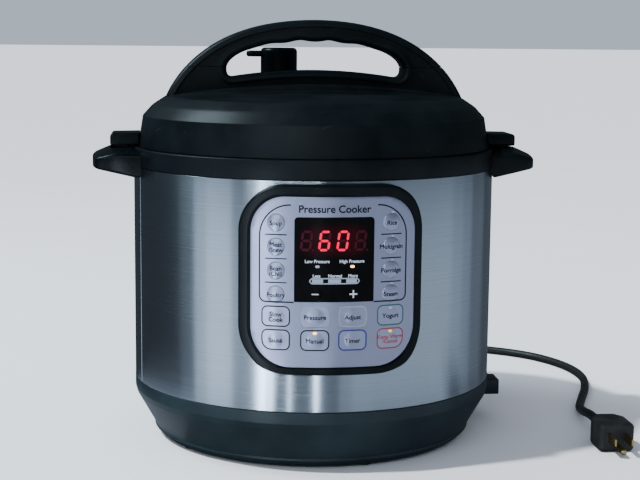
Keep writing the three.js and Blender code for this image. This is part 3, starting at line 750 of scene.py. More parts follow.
def cable():
    """Satin PVC sheath with faint lengthwise ripples."""
    finish = Finish("cable", (0.009, 0.01, 0.011), 0.42)
    ripple = finish.mottle(210, 3.0, 0.55)
    finish.paint(finish.blend(ripple, (0.007, 0.008, 0.009), (0.016, 0.017, 0.018)))
    finish.roughen(finish.levels(ripple, 0.3, 0.75, 0.33, 0.54))
    finish.relief(ripple, 0.05)
    return finish.material


def brass():
    """Slightly tarnished brass."""
    finish = Finish("brass", (0.62, 0.44, 0.16), 0.28, 1.0)
    tarnish = finish.mottle(500, 4.0, 0.6)
    finish.paint(finish.blend(tarnish, (0.48, 0.33, 0.12), (0.7, 0.52, 0.22)))
    finish.roughen(finish.levels(tarnish, 0.3, 0.7, 0.2, 0.42))
    finish.relief(tarnish, 0.006)
    return finish.material


def printed(name, color):
    """Screen-printing ink, thin and slightly uneven."""
    finish = Finish(name, color, 0.45)
    patchy = finish.mottle(900, 3.0, 0.6)
    thinner = tuple(0.8 * c + 0.01 for c in color)
    finish.paint(finish.blend(finish.levels(patchy, 0.3, 0.8, 0, 0.3), color, thinner))
    finish.relief(patchy, 0.004)
    finish.set("Specular IOR Level", 0.12)
    return finish.material


def glowing(name, color, strength, dark=(0.02, 0.004, 0.006)):
    """A lit lamp or digit: brighter in its middle parts than where the diffuser is thin."""
    finish = Finish(name, dark, 0.35)
    flicker = finish.mottle(600, 2.0)
    glow = finish.blend(finish.levels(flicker, 0.3, 0.7), tuple(0.8 * c for c in color), color)
    finish.link(glow, "Emission Color").set("Emission Strength", strength)
    finish.set("Specular IOR Level", 0.08)
    return finish.material


def pale_surface():
    """The plain pale surface that the cooker stands on."""
    finish = Finish("pale_surface", (0.87, 0.88, 0.91), 0.42)
    cloud = finish.mottle(7, 5.0, 0.6)
    finish.paint(finish.blend(cloud, (0.85, 0.86, 0.89), (0.9, 0.91, 0.94)))
    finish.relief(finish.mottle(400, 3.0), 0.02)
    finish.set("Specular IOR Level", 0.0)
    return finish.material


DIGITS = {"middle": 167.2, "tall": 14.2, "wide": 8.0, "stroke": 1.75, "slant": 0.12}

FINISHES = {make.__name__: make() for make in (
    matte_black, base_plastic, gloss_black, brushed_steel, polished_steel, galvanised, cast_aluminium,
    overlay, keys, window, board, display, silicone, clear_cup, rubber, cable, brass,
)}

# ---------------------------------------------------------------- mains lead

LEAD_DIAMETER = 0.007
LEAD_ROUTE = [  # metres, about the pot's axis
    (0.1422, 0.0803, 0.0265), (0.1422, 0.094, 0.0259), (0.1428, 0.108, 0.0222), (0.1444, 0.124, 0.0145),
    (0.1456, 0.140, 0.0072), (0.1445, 0.156, 0.0042), (0.139, 0.172, 0.0036), (0.127, 0.187, 0.0036),
    (0.109, 0.197, 0.0036), (0.084, 0.201, 0.0036), (0.034, 0.203, 0.0036), (-0.015, 0.204, 0.0036),
    (-0.033, 0.2085, 0.0036), (-0.046, 0.221, 0.0036), (-0.0505, 0.2385, 0.0036), (-0.046, 0.256, 0.0036),
    (-0.033, 0.2685, 0.0036), (-0.015, 0.273, 0.0036), (0.040, 0.274, 0.0036), (0.096, 0.271, 0.0036),
    (0.150, 0.261, 0.0036), (0.196, 0.243, 0.0036), (0.232, 0.214, 0.0036), (0.253, 0.174, 0.0036),
    (0.258, 0.130, 0.0036), (0.249, 0.088, 0.0036), (0.235, 0.050, 0.0036), (0.224, 0.018, 0.0046),
    (0.220, -0.008, 0.008), (0.219, -0.026, 0.0106), (0.219, -0.0403, 0.011),
]


def smooth_path(points):
    """A centripetal Catmull-Rom curve through the points."""
    steps = 8
    knots = [Vector(p) for p in points]
    knots = [2 * knots[0] - knots[1], *knots, 2 * knots[-1] - knots[-2]]
    path = []
    for a, b, c, d in zip(knots, knots[1:], knots[2:], knots[3:]):
        spans = [math.sqrt((q - p).length) for p, q in ((a, b), (b, c), (c, d))]
        lean_b = ((b - a) / spans[0] - (c - a) / (spans[0] + spans[1]) + (c - b) / spans[1]) * spans[1]
        lean_c = ((c - b) / spans[1] - (d - b) / (spans[1] + spans[2]) + (d - c) / spans[2]) * spans[1]
        for k in range(steps):
            t = k / steps
            path.append(b * (2 * t ** 3 - 3 * t * t + 1) + lean_b * (t ** 3 - 2 * t * t + t)
                        + c * (3 * t * t - 2 * t ** 3) + lean_c * (t ** 3 - t * t))
    return [*path, knots[-2]]


def add_lead():
    path = smooth_path(LEAD_ROUTE)
    data = bpy.data.curves.new("power_lead_look", "CURVE")
    data.dimensions = "3D"
    data.bevel_depth = LEAD_DIAMETER / 2
    data.bevel_resolution = 5
    data.use_fill_caps = True
    spline = data.splines.new("POLY")
    spline.points.add(len(path) - 1)
    for point, place in zip(spline.points, path):
        point.co = (*place, 1)
    data.materials.append(FINISHES["cable"])
    lead = new_object("power_lead_look", data, AXIS)
    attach(lead, BODY_OF["power_lead"])
    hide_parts("power_lead")
    add_connector()
    add_plug()


def ribbed_relief(thick, thin, length):
    """Half of a tapered strain relief's section, with grooves between its ribs, standing on z = 0."""
    ribs, groove = 5, 0.7
    corners = [(0, 0), (thick, 0, 0.6)]
    first, pitch = 0.2 * length, 0.7 * length / ribs
    for i in range(ribs):
        z = first + pitch * i
        radius = thick + (thin - thick) * z / length
        corners += [(radius, z, 0.3), (radius - groove, z + 0.25 * pitch, 0.3),
                    (radius - groove, z + 0.4 * pitch, 0.3), (radius - 0.1, z + 0.6 * pitch, 0.3)]
    return [*corners, (thin, length, 0.5), (0, length)]


CONNECTOR_PLACE = (142.2, 25.3, 26.5)  # the middle of the grip's front


def add_connector():
    """The lead's connector: nose in the inlet, ridged grip and tapered tail."""
    x, y, z = CONNECTOR_PLACE
    nose_half, nose_thick, nose_length = 7, 4.2, 14.3
    grip_half, grip_waist, grip_thick, grip_back, shoulder, tail = 7.6, 5.2, 4.9, 45, 38, 35
    nose = slab(rounded_box(-nose_half, nose_half, -nose_thick, nose_thick, 1.2), y - nose_length, y + 2,
                round_rim(0.4, 2))
    nose.mapped(lambda u, v, w: (x + u, w, z + v))
    grip_outline = rounded([
        (-grip_half, y, 2), (grip_half, y, 2), (grip_half, shoulder, 6),
        (grip_waist, grip_back, 2), (-grip_waist, grip_back, 2), (-grip_half, shoulder, 6),
    ])
    grip = slab(grip_outline, z - grip_thick, z + grip_thick, round_rim(1.6)).mapped(moved(x, 0))
    for k in range(3):
        ridge_y = y + 4 + 4 * k
        ridge = slab(rounded_box(-5.4, 5.4, ridge_y, ridge_y + 1.6, 0.7), z - grip_thick - 0.4,
                     z + grip_thick + 0.4, round_rim(0.5, 2))
        grip.merge(ridge.mapped(moved(x, 0)))
    relief = turned(ribbed_relief(4.8, 4.1, tail), 24).mapped(lying_along_y(x, grip_back, z))
    return add_piece("lead_connector", nose.merge(grip).merge(relief), "rubber")


def add_plug():
    """The mains plug: a ridged grip, two flat blades and a round earth pin."""
    x, y, z = (value / MM for value in LEAD_ROUTE[-1])
    relief_length, body_length = 22, 34
    blade_half, blade_thick, blade_length, blade_reach = 3.2, 0.75, 16, 6.35
    earth_radius, earth_length, earth_round = 2.3, 18, 17.5
    back = y - 0.3
    shoulder = back - relief_length
    front = shoulder - body_length
    half_wide, half_tall = 13.5, 10.5
    outline = rounded([(-half_wide, front, 4), (half_wide, front, 4), (half_wide, shoulder - 9, 9),
                       (7, shoulder, 4), (-7, shoulder, 4), (-half_wide, shoulder - 9, 9)], steps=8)
    skin = slab(outline, z - half_tall, z + half_tall, round_rim(3.2, 6), spacing=4)
    skin.mapped(moved(x, 0))
    for k in range(5):
        ridge_y = front + 12 + 3.4 * k
        ridge_outline = rounded_box(-8, 8, ridge_y, ridge_y + 1.4, 0.6)
        ridge = slab(ridge_outline, z - half_tall - 0.4, z + half_tall + 0.4, round_rim(0.4, 2))
        skin.merge(ridge.mapped(moved(x, 0)))
    skin.merge(turned(ribbed_relief(6, 4.1, relief_length), 24).mapped(lying_along_y(x, shoulder, z)))
    plug = add_piece("lead_plug", skin, "rubber")
    pins = Skin()
    for side in (-1, 1):
        outline = rounded_box(-blade_half, blade_half, front - blade_length, front + 2, (1.2, 1.2, 0, 0))
        blade = slab(outline, -blade_thick, blade_thick, round_rim(0.25, 2))
        pins.merge(blade.mapped(lambda u, v, w, dx=blade_reach * side: (x + dx + w, v, z + 1 + u)))
    earth = turned([(0, 0), (earth_radius, 0), (earth_radius, earth_round, 1.4), (0, earth_length)], 20)
    pins.merge(earth.mapped(lying_along_y(x, front + 1, z - 6, -1)))
    add_mesh("lead_plug_pins", mesh_of("lead_plug_pins", pins), BODY_OF["lead_plug"], "brass")
    return plug


add_lead()

# ---------------------------------------------------------------- base


def add_base_shell():
    skin = turned([
        (104, 1.5, 0.4), (118, 1.5, 2), (123.2, 6.4, 0.8), (122.4, 8, 0.8), (131.9, 24.8, 30),
        (136.6, 33, 1.6), (137.7, 37, 2), (137.7, 45.4, 0.5), (136.2, 45.4), (136.2, 52), (133.7, 52),
        (133.7, 42, 4), (120, 10, 4), (112, 4.5, 2), (104, 4.5),
    ], 192)
    add_piece("base_shell", skin, "base_plastic")


def add_feet():
    """A rubber pad for each foot, as wide and as tall as the foot's box."""
    for node in sorted(n for n in frame["nodes"] if n.startswith("foot_")):
        low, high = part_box(node)
        middle = ((low + high) / 2 - AXIS) / MM
        radius = (high.x - low.x) / 2 / MM
        top = high.z / MM
        pad = turned([(0, 0), (radius - 1.5, 0, 0.3), (radius, 0.5, 0.4), (radius, top, 0.2), (0, top)], 32)
        add_piece(node, pad.mapped(moved(middle.x, middle.y)), "rubber")


SEAMS = (74, -74)  # degrees either side of the front
SEAM = {"half_width": 0.45, "depth": 0.35}


def add_sleeve():
    """The brushed steel wrap, with a shut seam low on either side of the front."""
    inner, outer, low, high = 136.6, 137.6, 45.7, 207.3
    section = rounded([(inner, low), (outer, low, 0.4), (outer, high, 0.4), (inner, high)])
    angles = [2 * k for k in range(180)]
    half_turn = math.degrees(SEAM["half_width"] / outer)
    for seam in SEAMS:
        middle = (seam - 90) % 360
        angles = [a for a in angles if abs(a - middle) > 2 * half_turn]
        angles += [middle + half_turn * k for k in (-1.0, -0.3, 0.3, 1.0)]
    skin = Skin()
    rings = []
    for r, z in section:
        ring = []
        for degrees in sorted(angles):
            in_seam = any(abs(degrees - (s - 90) % 360) < 0.5 * half_turn for s in SEAMS)
            reach = r - (SEAM["depth"] if in_seam and r > inner + 0.3 else 0)
            turn = math.radians(degrees)
            ring.append((reach * math.cos(turn), reach * math.sin(turn), z))
        rings.append(skin.add(ring))
    for first, second in zip(rings, rings[1:] + rings[:1]):
        skin.bridge(first, second)
    add_piece("steel_sleeve", skin, "brushed_steel")


def add_collar():
    """The black ring on top of the sleeve, with the drain spout at the back."""
    skin = turned([
        (133.9, 200), (136.1, 200), (136.1, 207.5), (137.9, 207.5, 0.6), (137.9, 221.3, 1.1),
        (130.6, 221.3, 0.8), (130.6, 213.2, 0.6), (125.2, 213.2), (125.2, 210), (133.9, 210),
    ], 192)
    spout = slab(rounded_box(-18, 18, 134, 150, (0, 0, 3, 3)), 209, 213, round_rim(0.8, 2))
    add_piece("upper_collar", skin.merge(spout), "matte_black")


def share(value, low, high):
    """How far a value is on its way from low to high, from 0 to 1."""
    return min(max((value - low) / (high - low), 0), 1)


def add_side_handle(node, side):
    """A tongue that thins towards its tip and is crowned from front to back, with the lid's parking slot."""
    inner, tip, half, tip_half = 137.4, 168.6, 40, 31
    high, fall, fall_from = 221.5, 6.0, 155
    low, rise, rise_from = 199, 6.7, 140
    crown_fall, crown_rise = 3.8, 1.0
    spread = math.degrees(math.asin(half / inner))
    tip_spread = math.degrees(math.asin(tip_half / tip))
    front = quadratic((inner * math.cos(math.radians(-spread)), -half), (tip - 3, -half),
                      (tip * math.cos(math.radians(tip_spread)), -tip_half), 10)
    back = [Vector((p.x, -p.y)) for p in reversed(front)]
    outline = front + arc(tip, -tip_spread, tip_spread, 14)[1:-1]
    outline += back + arc(inner, spread, -spread, 16)[1:-1]
    slot = rounded_box(143, 155, -18, 18, 3)
    soft_edge = [(2.6 * inset, 0.17 * depth) for inset, depth in round_rim(1, 6)]
    slot_edge = [(1.0 * inset, 0.07 * depth) for inset, depth in round_rim(1, 3)]
    skin = slab(outline, 0, 1, soft_edge, [slot], slot_edge, spacing=3.5)

    def place(u, v, w):
        reach = math.hypot(u, v)
        outward = share(reach, fall_from, tip)
        crown = (abs(v) / half) ** 2.2
        top = high - fall * outward - crown_fall * crown * (1 - 0.6 * outward)
        bottom = low + rise * share(reach, rise_from, tip) + crown_rise * crown
        return (side * u, side * v, bottom + (top - bottom) * w)

    add_piece(node, skin.mapped(place), "gloss_black")


def add_housing():
    """The sheet bucket that the pot hangs in."""
    skin = turned([
        (100, 40), (119, 40, 6), (119, 213.5, 1), (130, 213.5), (130, 214.5), (118, 214.5, 2), (118, 41, 5),
        (100, 41),
    ], 128)
    add_piece("inner_housing", skin, "galvanised")


LUG = {"count": 12, "half": 6}


def lugs(inner, outer, low, high, first_angle):
    """Tabs at an even pitch, each an arc of a ring."""
    skin = Skin()
    for i in range(LUG["count"]):
        middle = first_angle + 360 * i / LUG["count"]
        outline = arc(outer, middle - LUG["half"], middle + LUG["half"], 6)
        outline += arc(inner, middle + LUG["half"], middle - LUG["half"], 6)
        skin.merge(slab(outline, low, high, round_rim(0.35, 2)))
    return skin


def add_lock_ring():
    skin = turned([
        (121, 214.8), (129.8, 214.8), (129.8, 215.6), (122.6, 215.6, 0.8), (122.6, 220, 0.4), (121, 220, 0.4),
    ], 128)
    add_piece("lid_lock_ring", skin.merge(lugs(121.8, 127.4, 218.7, 220, 0)), "polished_steel")


def add_heating_plate():
    skin = turned([
        (19, 54), (60, 52.4), (86, 52.4, 3), (90, 55, 2), (90, 60, 3), (84, 62, 4), (60, 62), (19, 62, 0.8),
    ], 128)
    add_piece("heating_plate", skin, "cast_aluminium")


def add_temperature_sensor():
    skin = turned([
        (0, 38), (4.2, 38, 0.6), (4.2, 52.4), (16.8, 52.4, 0.8), (17.4, 54, 0.8), (17.4, 62, 1.4), (6, 62),
        (5, 61.7, 0.5), (0, 61.7),
    ], 64)
    add_piece("temperature_sensor", skin, "cast_aluminium")


def add_sensor_spring():
    """A coil spring, which the sensor squeezes as it goes down; it is drawn at one length, with a mesh of its
    own.
    """
    radius, wire, low, high, turns = 7.2, 0.7, 42.2, 51.4, 3.5
    steps = int(turns * 28)
    path = []
    for k in range(steps + 1):
        angle = 2 * math.pi * turns * k / steps
        height = low + (high - low) * k / steps
        path.append(Vector((radius * math.cos(angle), radius * math.sin(angle), height)))
    spring = add_piece("sensor_spring", swept(path, wire), "polished_steel")
    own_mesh(spring)


# ---------------------------------------------------------------- key panel

PANEL_GIRTH = 143.9  # the radius along which distances across the panel are measured
PANEL_SHIFT = 0.4  # how far the panel's middle sits to the right of the front
FILM = 143.15  # the film's face
GLASS = 143.3  # the window's face
PANEL_BACK = 141.95  # the back of both
PANEL_STEP = 3
KEY = {"round": 6.2, "width": 20.2, "tall": 14.6, "corner": 4.2, "outer_corner": 7, "dome": 1.15,
       "skirt": 0.75, "gap": 0.05}
COLUMN_REACH, COLUMN_TOP, COLUMN_PITCH = 40.5, 179.3, 16.5
COLUMNS = (("soup", "stew", "beans", "poultry"), ("rice", "multigrain", "porridge", "steam"))
ROW_MIDDLES = (-40.4, -13.2, 13.1, 40.6)
ROWS = (
    (114.6, ("slow_cook", "pressure", "adjust", "yogurt")),
    (98.2, ("saute", "manual", "timer", "cancel")),
)
SIGNS = (("minus", -13.2), ("plus", 13.2))
SIGN_HEIGHT, SIGN_RADIUS = 130.4, 5
INK = (0.004, 0.005, 0.009)


def on_panel(across, height, reach):
    """A place on the panel, which curves round the body: reach is the distance from the pot's axis."""
    angle = (across + PANEL_SHIFT) / PANEL_GIRTH
    return (reach * math.sin(angle), -reach * math.cos(angle), height)


FILM_BOX = {"left": -58.4, "right": 58.7, "low": 79.4, "high": 196.8, "low_corner": 28.5, "high_corner": 24}
WINDOW_BOX = {"half": 27.6, "low": 125, "high": 183.1, "low_corner": 0.5, "high_corner": 2.5}
RING = {"width": 8.6, "left": 1.2, "right": -1.4, "low": -2.5}  # the bezel, and how each side differs


def film_outline(grown, steps):
    """The film's edge, or a loop that lies outside it by the given amount."""
    left, right = FILM_BOX["left"] - grown, FILM_BOX["right"] + grown
    low, high = FILM_BOX["low"] - grown, FILM_BOX["high"] + grown
    low_corner, high_corner = FILM_BOX["low_corner"] + grown, FILM_BOX["high_corner"] + grown
    return rounded_box(left, right, low, high, (low_corner, low_corner, high_corner, high_corner), steps)


def window_outline(grown):
    """The window's edge, or a loop just outside it."""
    half = WINDOW_BOX["half"] + grown
    low, high = WINDOW_BOX["low"] - grown, WINDOW_BOX["high"] + grown
    low_corner, high_corner = (WINDOW_BOX[name] + grown / 2 for name in ("low_corner", "high_corner"))
    return rounded_box(-half, half, low, high, (low_corner, low_corner, high_corner, high_corner), 4)


def on_ring(across, height, reach):
    """Like on_panel, but widens or narrows the ring outside the film's left, right and lower edge."""
    left = max(FILM_BOX["left"] - across, 0) / RING["width"]
    right = max(across - FILM_BOX["right"], 0) / RING["width"]
    low = max(FILM_BOX["low"] - height, 0) / RING["width"]
    return on_panel(across - RING["left"] * left + RING["right"] * right, height - RING["low"] * low, reach)


def add_bezel():
    """The glossy surround, its face sloping gently in to the film's pocket."""
    outline = film_outline(RING["width"], 20)
    section = rounded([
        (0, 137.7), (0, 142.2, 1.2), (1.6, 143.9, 1.0), (6.4, 143.7, 1.5), (8.2, 142.9, 0.5), (8.6, 141.6),
        (30, 141.6), (30, 138.2), (1, 137.7),
    ], steps=4)
    skin = hoop(dense_loop(outline, 4), [tuple(p) for p in section])
    add_piece("panel_bezel", skin.mapped(on_ring), "gloss_black")


def key_outline(key):
    """A key's edge, about its own middle."""
    if key["shape"] == "round":
        return circle(key["radius"], 40)
    x, y = KEY["width"] / 2, KEY["tall"] / 2
    corners = [KEY["corner"]] * 4
    for name, corner in (("saute", 0), ("cancel", 1)):
        if key["name"] == name:
            corners[corner] = KEY["outer_corner"]
    return rounded_box(-x, x, -y, y, tuple(corners))


def at_key(key, loop):
    """A loop drawn about a key's middle, where it lies on the panel."""
    return [p + Vector((key["across"], key["height"])) for p in loop]


def key_list():
    """All the keys: two columns of round ones, two rows of square ones, and the two signs in the window."""
    def key(name, across, height, shape="round", radius=KEY["round"], dome=KEY["dome"], face=FILM):
        return {"name": name, "across": across, "height": height, "shape": shape, "radius": radius,
                "dome": dome, "face": face}

    made = [key(name, side * COLUMN_REACH, COLUMN_TOP - COLUMN_PITCH * i)
            for side, names in zip((-1, 1), COLUMNS) for i, name in enumerate(names)]
    made += [key(name, middle, height, "box", dome=0.75 * KEY["dome"])
             for height, names in ROWS for middle, name in zip(ROW_MIDDLES, names)]
    made += [key(name, middle, SIGN_HEIGHT, radius=SIGN_RADIUS, dome=0.3, face=GLASS)
             for name, middle in SIGNS]
    return made


KEYS = key_list()


def dome_height(key, u, v):
    """How far the key's face stands out at a place measured from its middle."""
    outward = min(math.hypot(u, v) / key["radius"], 1)
    return key["dome"] * (1 - outward * outward) ** 1.3


def panel_relief(across, height):
    """How far any key stands out at a place on the panel."""
    return max(dome_height(key, across - key["across"], height - key["height"]) for key in KEYS)


def add_keys():
    """Each key is a domed cap in a well of the film or the window."""
    for key in KEYS:
        skin = slab(key_outline(key), 0, -KEY["skirt"], [(0.04, 0), (0, 0.04)], spacing=1.15)

        def place(u, v, w, key=key):
            out = dome_height(key, u, v) if w > -0.01 else w
            return on_panel(key["across"] + u, key["height"] + v, key["face"] + out)

        add_piece("key_" + key["name"], skin.mapped(place), "window" if key["face"] == GLASS else "keys")


def key_wells(face):
    """The holes that a face of the panel needs for its keys."""
    return [at_key(key, offset(key_outline(key), -KEY["gap"])) for key in KEYS if key["face"] == face]


def add_film():
    """The silver film, open over the window and round each key."""
    holes = [window_outline(0.2), *key_wells(FILM)]
    holes = [dense_loop(hole, PANEL_STEP) for hole in holes]
    rim = [(0.35, 0), (0.1, 0.08), (0, 0.35)]
    skin = slab(dense_loop(film_outline(0.3, 16), PANEL_STEP), FILM, PANEL_BACK, rim, holes, [(0, 0)],
                spacing=PANEL_STEP)
    add_piece("panel_overlay", skin.mapped(on_panel), "overlay")


def add_window():
    """The smoked window, open round its two keys."""
    outline = dense_loop(window_outline(0), PANEL_STEP)
    skin = slab(outline, GLASS, PANEL_BACK, [(0.15, 0), (0, 0.15)], key_wells(GLASS), [(0, 0)],
                spacing=PANEL_STEP)
    add_piece("display_window", skin.mapped(on_panel), "window")


# Printing, lamps and digits are thin solids that lie on the film, the window or a key.

PRINT_THICK = 0.1
PRINTS = {}


def ink(name, color):
    """A printing ink, made once for each name."""
    if name not in PRINTS:
        PRINTS[name] = printed("ink_" + name, color)
    return PRINTS[name]


def add_drawing(name, skin, face, material, body="base"):
    """Lays a flat drawing of (across, height) on the film or the window, over any key dome."""
    def place(u, v, w):
        return on_panel(u, v, face + PRINT_THICK * w + panel_relief(u, v))

    add_mesh(name, mesh_of(name, skin.mapped(place)), body, material=material)


def ribbon(points, width, closed=True):
    """A line of even width along a path, between w = 0 and w = 1."""
    skin = Skin()
    rings = []
    for i, here in enumerate(points):
        back = points[i - 1] if closed or i > 0 else here
        ahead = points[(i + 1) % len(points)] if closed or i < len(points) - 1 else here
        along = (ahead - back).normalized()
        side = Vector((-along.y, along.x)) * width / 2
        low, high = here - side, here + side
        rings.append(skin.add([(*low, 0), (*high, 0), (*high, 1), (*low, 1)]))
    pairs = list(zip(rings, rings[1:]))
    if closed:
        pairs.append((rings[-1], rings[0]))
    else:
        skin.faces += [rings[0], rings[-1]]
    for first, second in pairs:
        skin.bridge(first, second)
    return skin


def patch(outline):
    """A flat filled shape, between w = 0 and w = 1."""
    return slab(dense_loop(outline), 1, 0, [(0, 0)], spacing=1.2)


CAP_SHARE = 0.682  # a capital's height in the built-in font of size 1
LETTER_STEP = 1.2
STROKE_GAIN = 0.035  # how far a letter's edges move out, for each unit of a capital's height


def thicken(build, gain):
    """Moves the upright walls of a flat shape outward."""
    build.normal_update()
    shifts = {}
    for vert in build.verts:
        walls = [face.normal for face in vert.link_faces if abs(face.normal.z) < 0.5]
        if walls:
            shifts[vert] = gain * sum(walls, Vector((0, 0, 0))).normalized()
    for vert, shift in shifts.items():
        vert.co += shift


def letters(words, cap_height, x, y, line_gap=1.0):
    """Plain lettering as a skin in (across, height), centred on a point."""
    data = bpy.data.curves.new("letters", "FONT")
    data.body = words
    data.size = cap_height / CAP_SHARE
    data.align_x = "CENTER"
    data.align_y = "CENTER"
    data.space_line = line_gap
    data.resolution_u = 4
    data.extrude = 0.5
    text = new_object("letters", data)
    shape = evaluated_mesh(text)
    with editing(shape) as build:
        bmesh.ops.remove_doubles(build, verts=build.verts, dist=1e-4)
        thicken(build, STROKE_GAIN * cap_height)
        bmesh.ops.triangulate(build, faces=build.faces)
        for _ in range(2):
            long_edges = [e for e in build.edges if e.calc_length() > LETTER_STEP]
            bmesh.ops.subdivide_edges(build, edges=long_edges, cuts=1)
            bmesh.ops.triangulate(build, faces=build.faces)
    skin = Skin()
    skin.points = [(v.co.x + x, v.co.y + y, v.co.z + 0.5) for v in shape.vertices]
    skin.faces = [list(f.vertices) for f in shape.polygons]
    bpy.data.objects.remove(text)
    bpy.data.curves.remove(data)
    bpy.data.meshes.remove(shape)
    return skin


def split_by(skin, is_inside):
    """Parts a skin into the separate shapes that lie wholly inside, and the rest."""
    parent = list(range(len(skin.points)))

    def root(k):
        while parent[k] != k:
            parent[k] = parent[parent[k]]
            k = parent[k]
        return k

    for face in skin.faces:
        for a, b in zip(face, face[1:]):
            parent[root(a)] = root(b)
    places = {}
    for k, point in enumerate(skin.points):
        key = tuple(round(c, 4) for c in point)
        if key in places:
            parent[root(k)] = root(places[key])
        places[key] = k
    groups = {}
    for face in skin.faces:
        groups.setdefault(root(face[0]), []).append(face)
    parts = (Skin(), Skin())
    for faces in groups.values():
        used = sorted({k for face in faces for k in face})
        points = [skin.points[k] for k in used]
        target = parts[0] if all(is_inside(x, y) for x, y, _ in points) else parts[1]
        numbers = dict(zip(used, target.add(points)))
        target.faces += [[numbers[k] for k in face] for face in faces]
    return parts


LABELS = {
    "soup": "Soup", "stew": "Meat\n/Stew", "beans": "Bean\n/Chili", "poultry": "Poultry", "rice": "Rice",
    "multigrain": "Multigrain", "porridge": "Porridge", "steam": "Steam", "slow_cook": "Slow\nCook",
    "pressure": "Pressure", "adjust": "Adjust", "yogurt": "Yogurt", "saute": "Sauté", "manual": "Manual",
    "timer": "Timer", "cancel": "Keep Warm\n/Cancel",
}
OUTLINES = {
    "slow_cook": INK, "saute": INK, "manual": INK, "timer": (0.022, 0.022, 0.2), "yogurt": (0.03, 0.1, 0.11),
    "cancel": (0.25, 0.045, 0.06), "adjust": (0.28, 0.29, 0.36),
}
RED_INK = (0.27, 0.05, 0.06)


def add_key_labels():
    """A letter that lies on its key moves with it; one that hangs over its edge is on the film."""
    for key in KEYS:
        if key["name"] not in LABELS:
            continue
        name = key["name"]
        red = name == "cancel"
        skin = letters(LABELS[name], 2.6 if red else 3.0, key["across"], key["height"] - 0.5, 0.85)
        reach = key["radius"] if key["shape"] == "round" else KEY["width"] / 2

        def on_key(x, y, key=key, reach=reach):
            far = math.hypot(x - key["across"], y - key["height"])
            return far < reach if key["shape"] == "round" else abs(x - key["across"]) < reach

        color = ink("red", RED_INK) if red else ink("black", INK)
        riding, left_over = split_by(skin, on_key)
        for part, body, suffix in ((riding, BODY_OF["key_" + name], ""), (left_over, "base", "_rest")):
            if part.points:
                add_drawing(f"label_{name}{suffix}", part, FILM, color, body)


def add_key_outlines():
    """The line round each square key, which moves with it."""
    for key in KEYS:
        if key["name"] not in OUTLINES:
            continue
        line = dense_loop(at_key(key, offset(key_outline(key), 0.45)), 2)
        color = ink(key["name"], OUTLINES[key["name"]])
        add_drawing("outline_" + key["name"], ribbon(line, 0.85), FILM, color, BODY_OF["key_" + key["name"]])


def add_column_lines():
    """The frames round both columns, the lines between their keys, and the plain title."""
    frame_line = rounded([(-30.2, 191.5), (-52, 191.5, 21.5), (-52, 124.6, 4.4), (-27.9, 124.6)],
                         closed=False, steps=14)
    mirrored = [Vector((-p.x, p.y)) for p in frame_line]
    skin = ribbon(dense(frame_line), 0.95, closed=False).merge(ribbon(dense(mirrored), 0.95, closed=False))
    for side in (-1, 1):
        for i in range(3):
            height = COLUMN_TOP - COLUMN_PITCH * (i + 0.5)
            ends = [Vector((side * COLUMN_REACH + reach, height)) for reach in (-7.6, 7.6)]
            skin.merge(ribbon(dense(ends), 0.8, closed=False))
    add_drawing("column_lines", skin, FILM, ink("black", INK))
    title = letters("Pressure Cooker", 4.9, 0, 188.6)
    add_drawing("title", title, FILM, ink("black", INK))


def lamp(x, y, wide=2.9, tall=1.7):
    return patch(rounded_box(x - wide / 2, x + wide / 2, y - tall / 2, y + tall / 2, tall / 2))


def add_lamps():
    """The small lamps of the keys and the window; three are lit."""
    amber = glowing("lamp_amber", (1.0, 0.4, 0.17), 5.0, (0.6, 0.4, 0.3))
    yellow = glowing("lamp_yellow", (1.0, 0.74, 0.0), 1.05, (0.4, 0.3, 0.0))
    pale = ink("lamp_off", (0.36, 0.37, 0.43))
    for name, material in (("manual", amber), ("cancel", yellow), ("yogurt", pale)):
        key = next(k for k in KEYS if k["name"] == name)
        add_drawing("lamp_" + name, lamp(key["across"], key["height"] + 5.1), FILM, material,
                    BODY_OF["key_" + name])
    unlit = Skin()
    for i in range(4):
        unlit.merge(lamp(COLUMN_REACH + 0.8, COLUMN_TOP - COLUMN_PITCH * i + 6.9, 2.2, 1.1))
    add_drawing("lamps_right_column", unlit, FILM, pale)
    add_drawing("lamp_high_pressure", lamp(12.4, 149.5), GLASS, amber)
    add_drawing("lamp_low_pressure", lamp(-11.8, 149.5), GLASS, ink("lamp_grey", (0.4, 0.44, 0.52)))


def add_window_print():
    """The words, the level bar and the two signs, in pale ink on the window."""
    white = ink("white", (0.62, 0.66, 0.74))
    skin = letters("Low Pressure", 2.1, -12, 153).merge(letters("High Pressure", 2.1, 12, 153))
    for words, x in (("Less", -12.4), ("Normal", 0.4), ("More", 12.8)):
        skin.merge(letters(words, 2.1, x, 143))
    add_drawing("window_words", skin, GLASS, white)
    ends = rounded([(-15.6, 137.7, 1), (15.8, 137.7, 1), (17.6, 139.5, 1), (15.8, 141.3, 1),
                    (-15.6, 141.3, 1), (-17.4, 139.5, 1)])
    bar = ribbon(dense_loop(ends), 0.7)
    for x0, x1 in ((-15.4, -7.9), (-4.3, 4.5), (8.1, 15.6)):
        bar.merge(patch(rounded_box(x0, x1, 138.2, 140.8, 0.3)))
    add_drawing("level_bar", bar, GLASS, ink("bar", (0.3, 0.36, 0.45)))
    arm = [Vector(p) for p in ((0.45, -2.7), (0.45, -0.45), (2.7, -0.45))]
    plus = [Matrix.Rotation(math.pi / 2 * k, 2) @ p for k in range(4) for p in arm]
    signs = {"minus": rounded_box(-2.4, 2.4, -0.36, 0.36, 0.1), "plus": plus}
    for key in KEYS:
        if key["name"] in signs:
            skin = patch(at_key(key, signs[key["name"]]))
            add_drawing("sign_" + key["name"], skin, GLASS, white, BODY_OF["key_" + key["name"]])


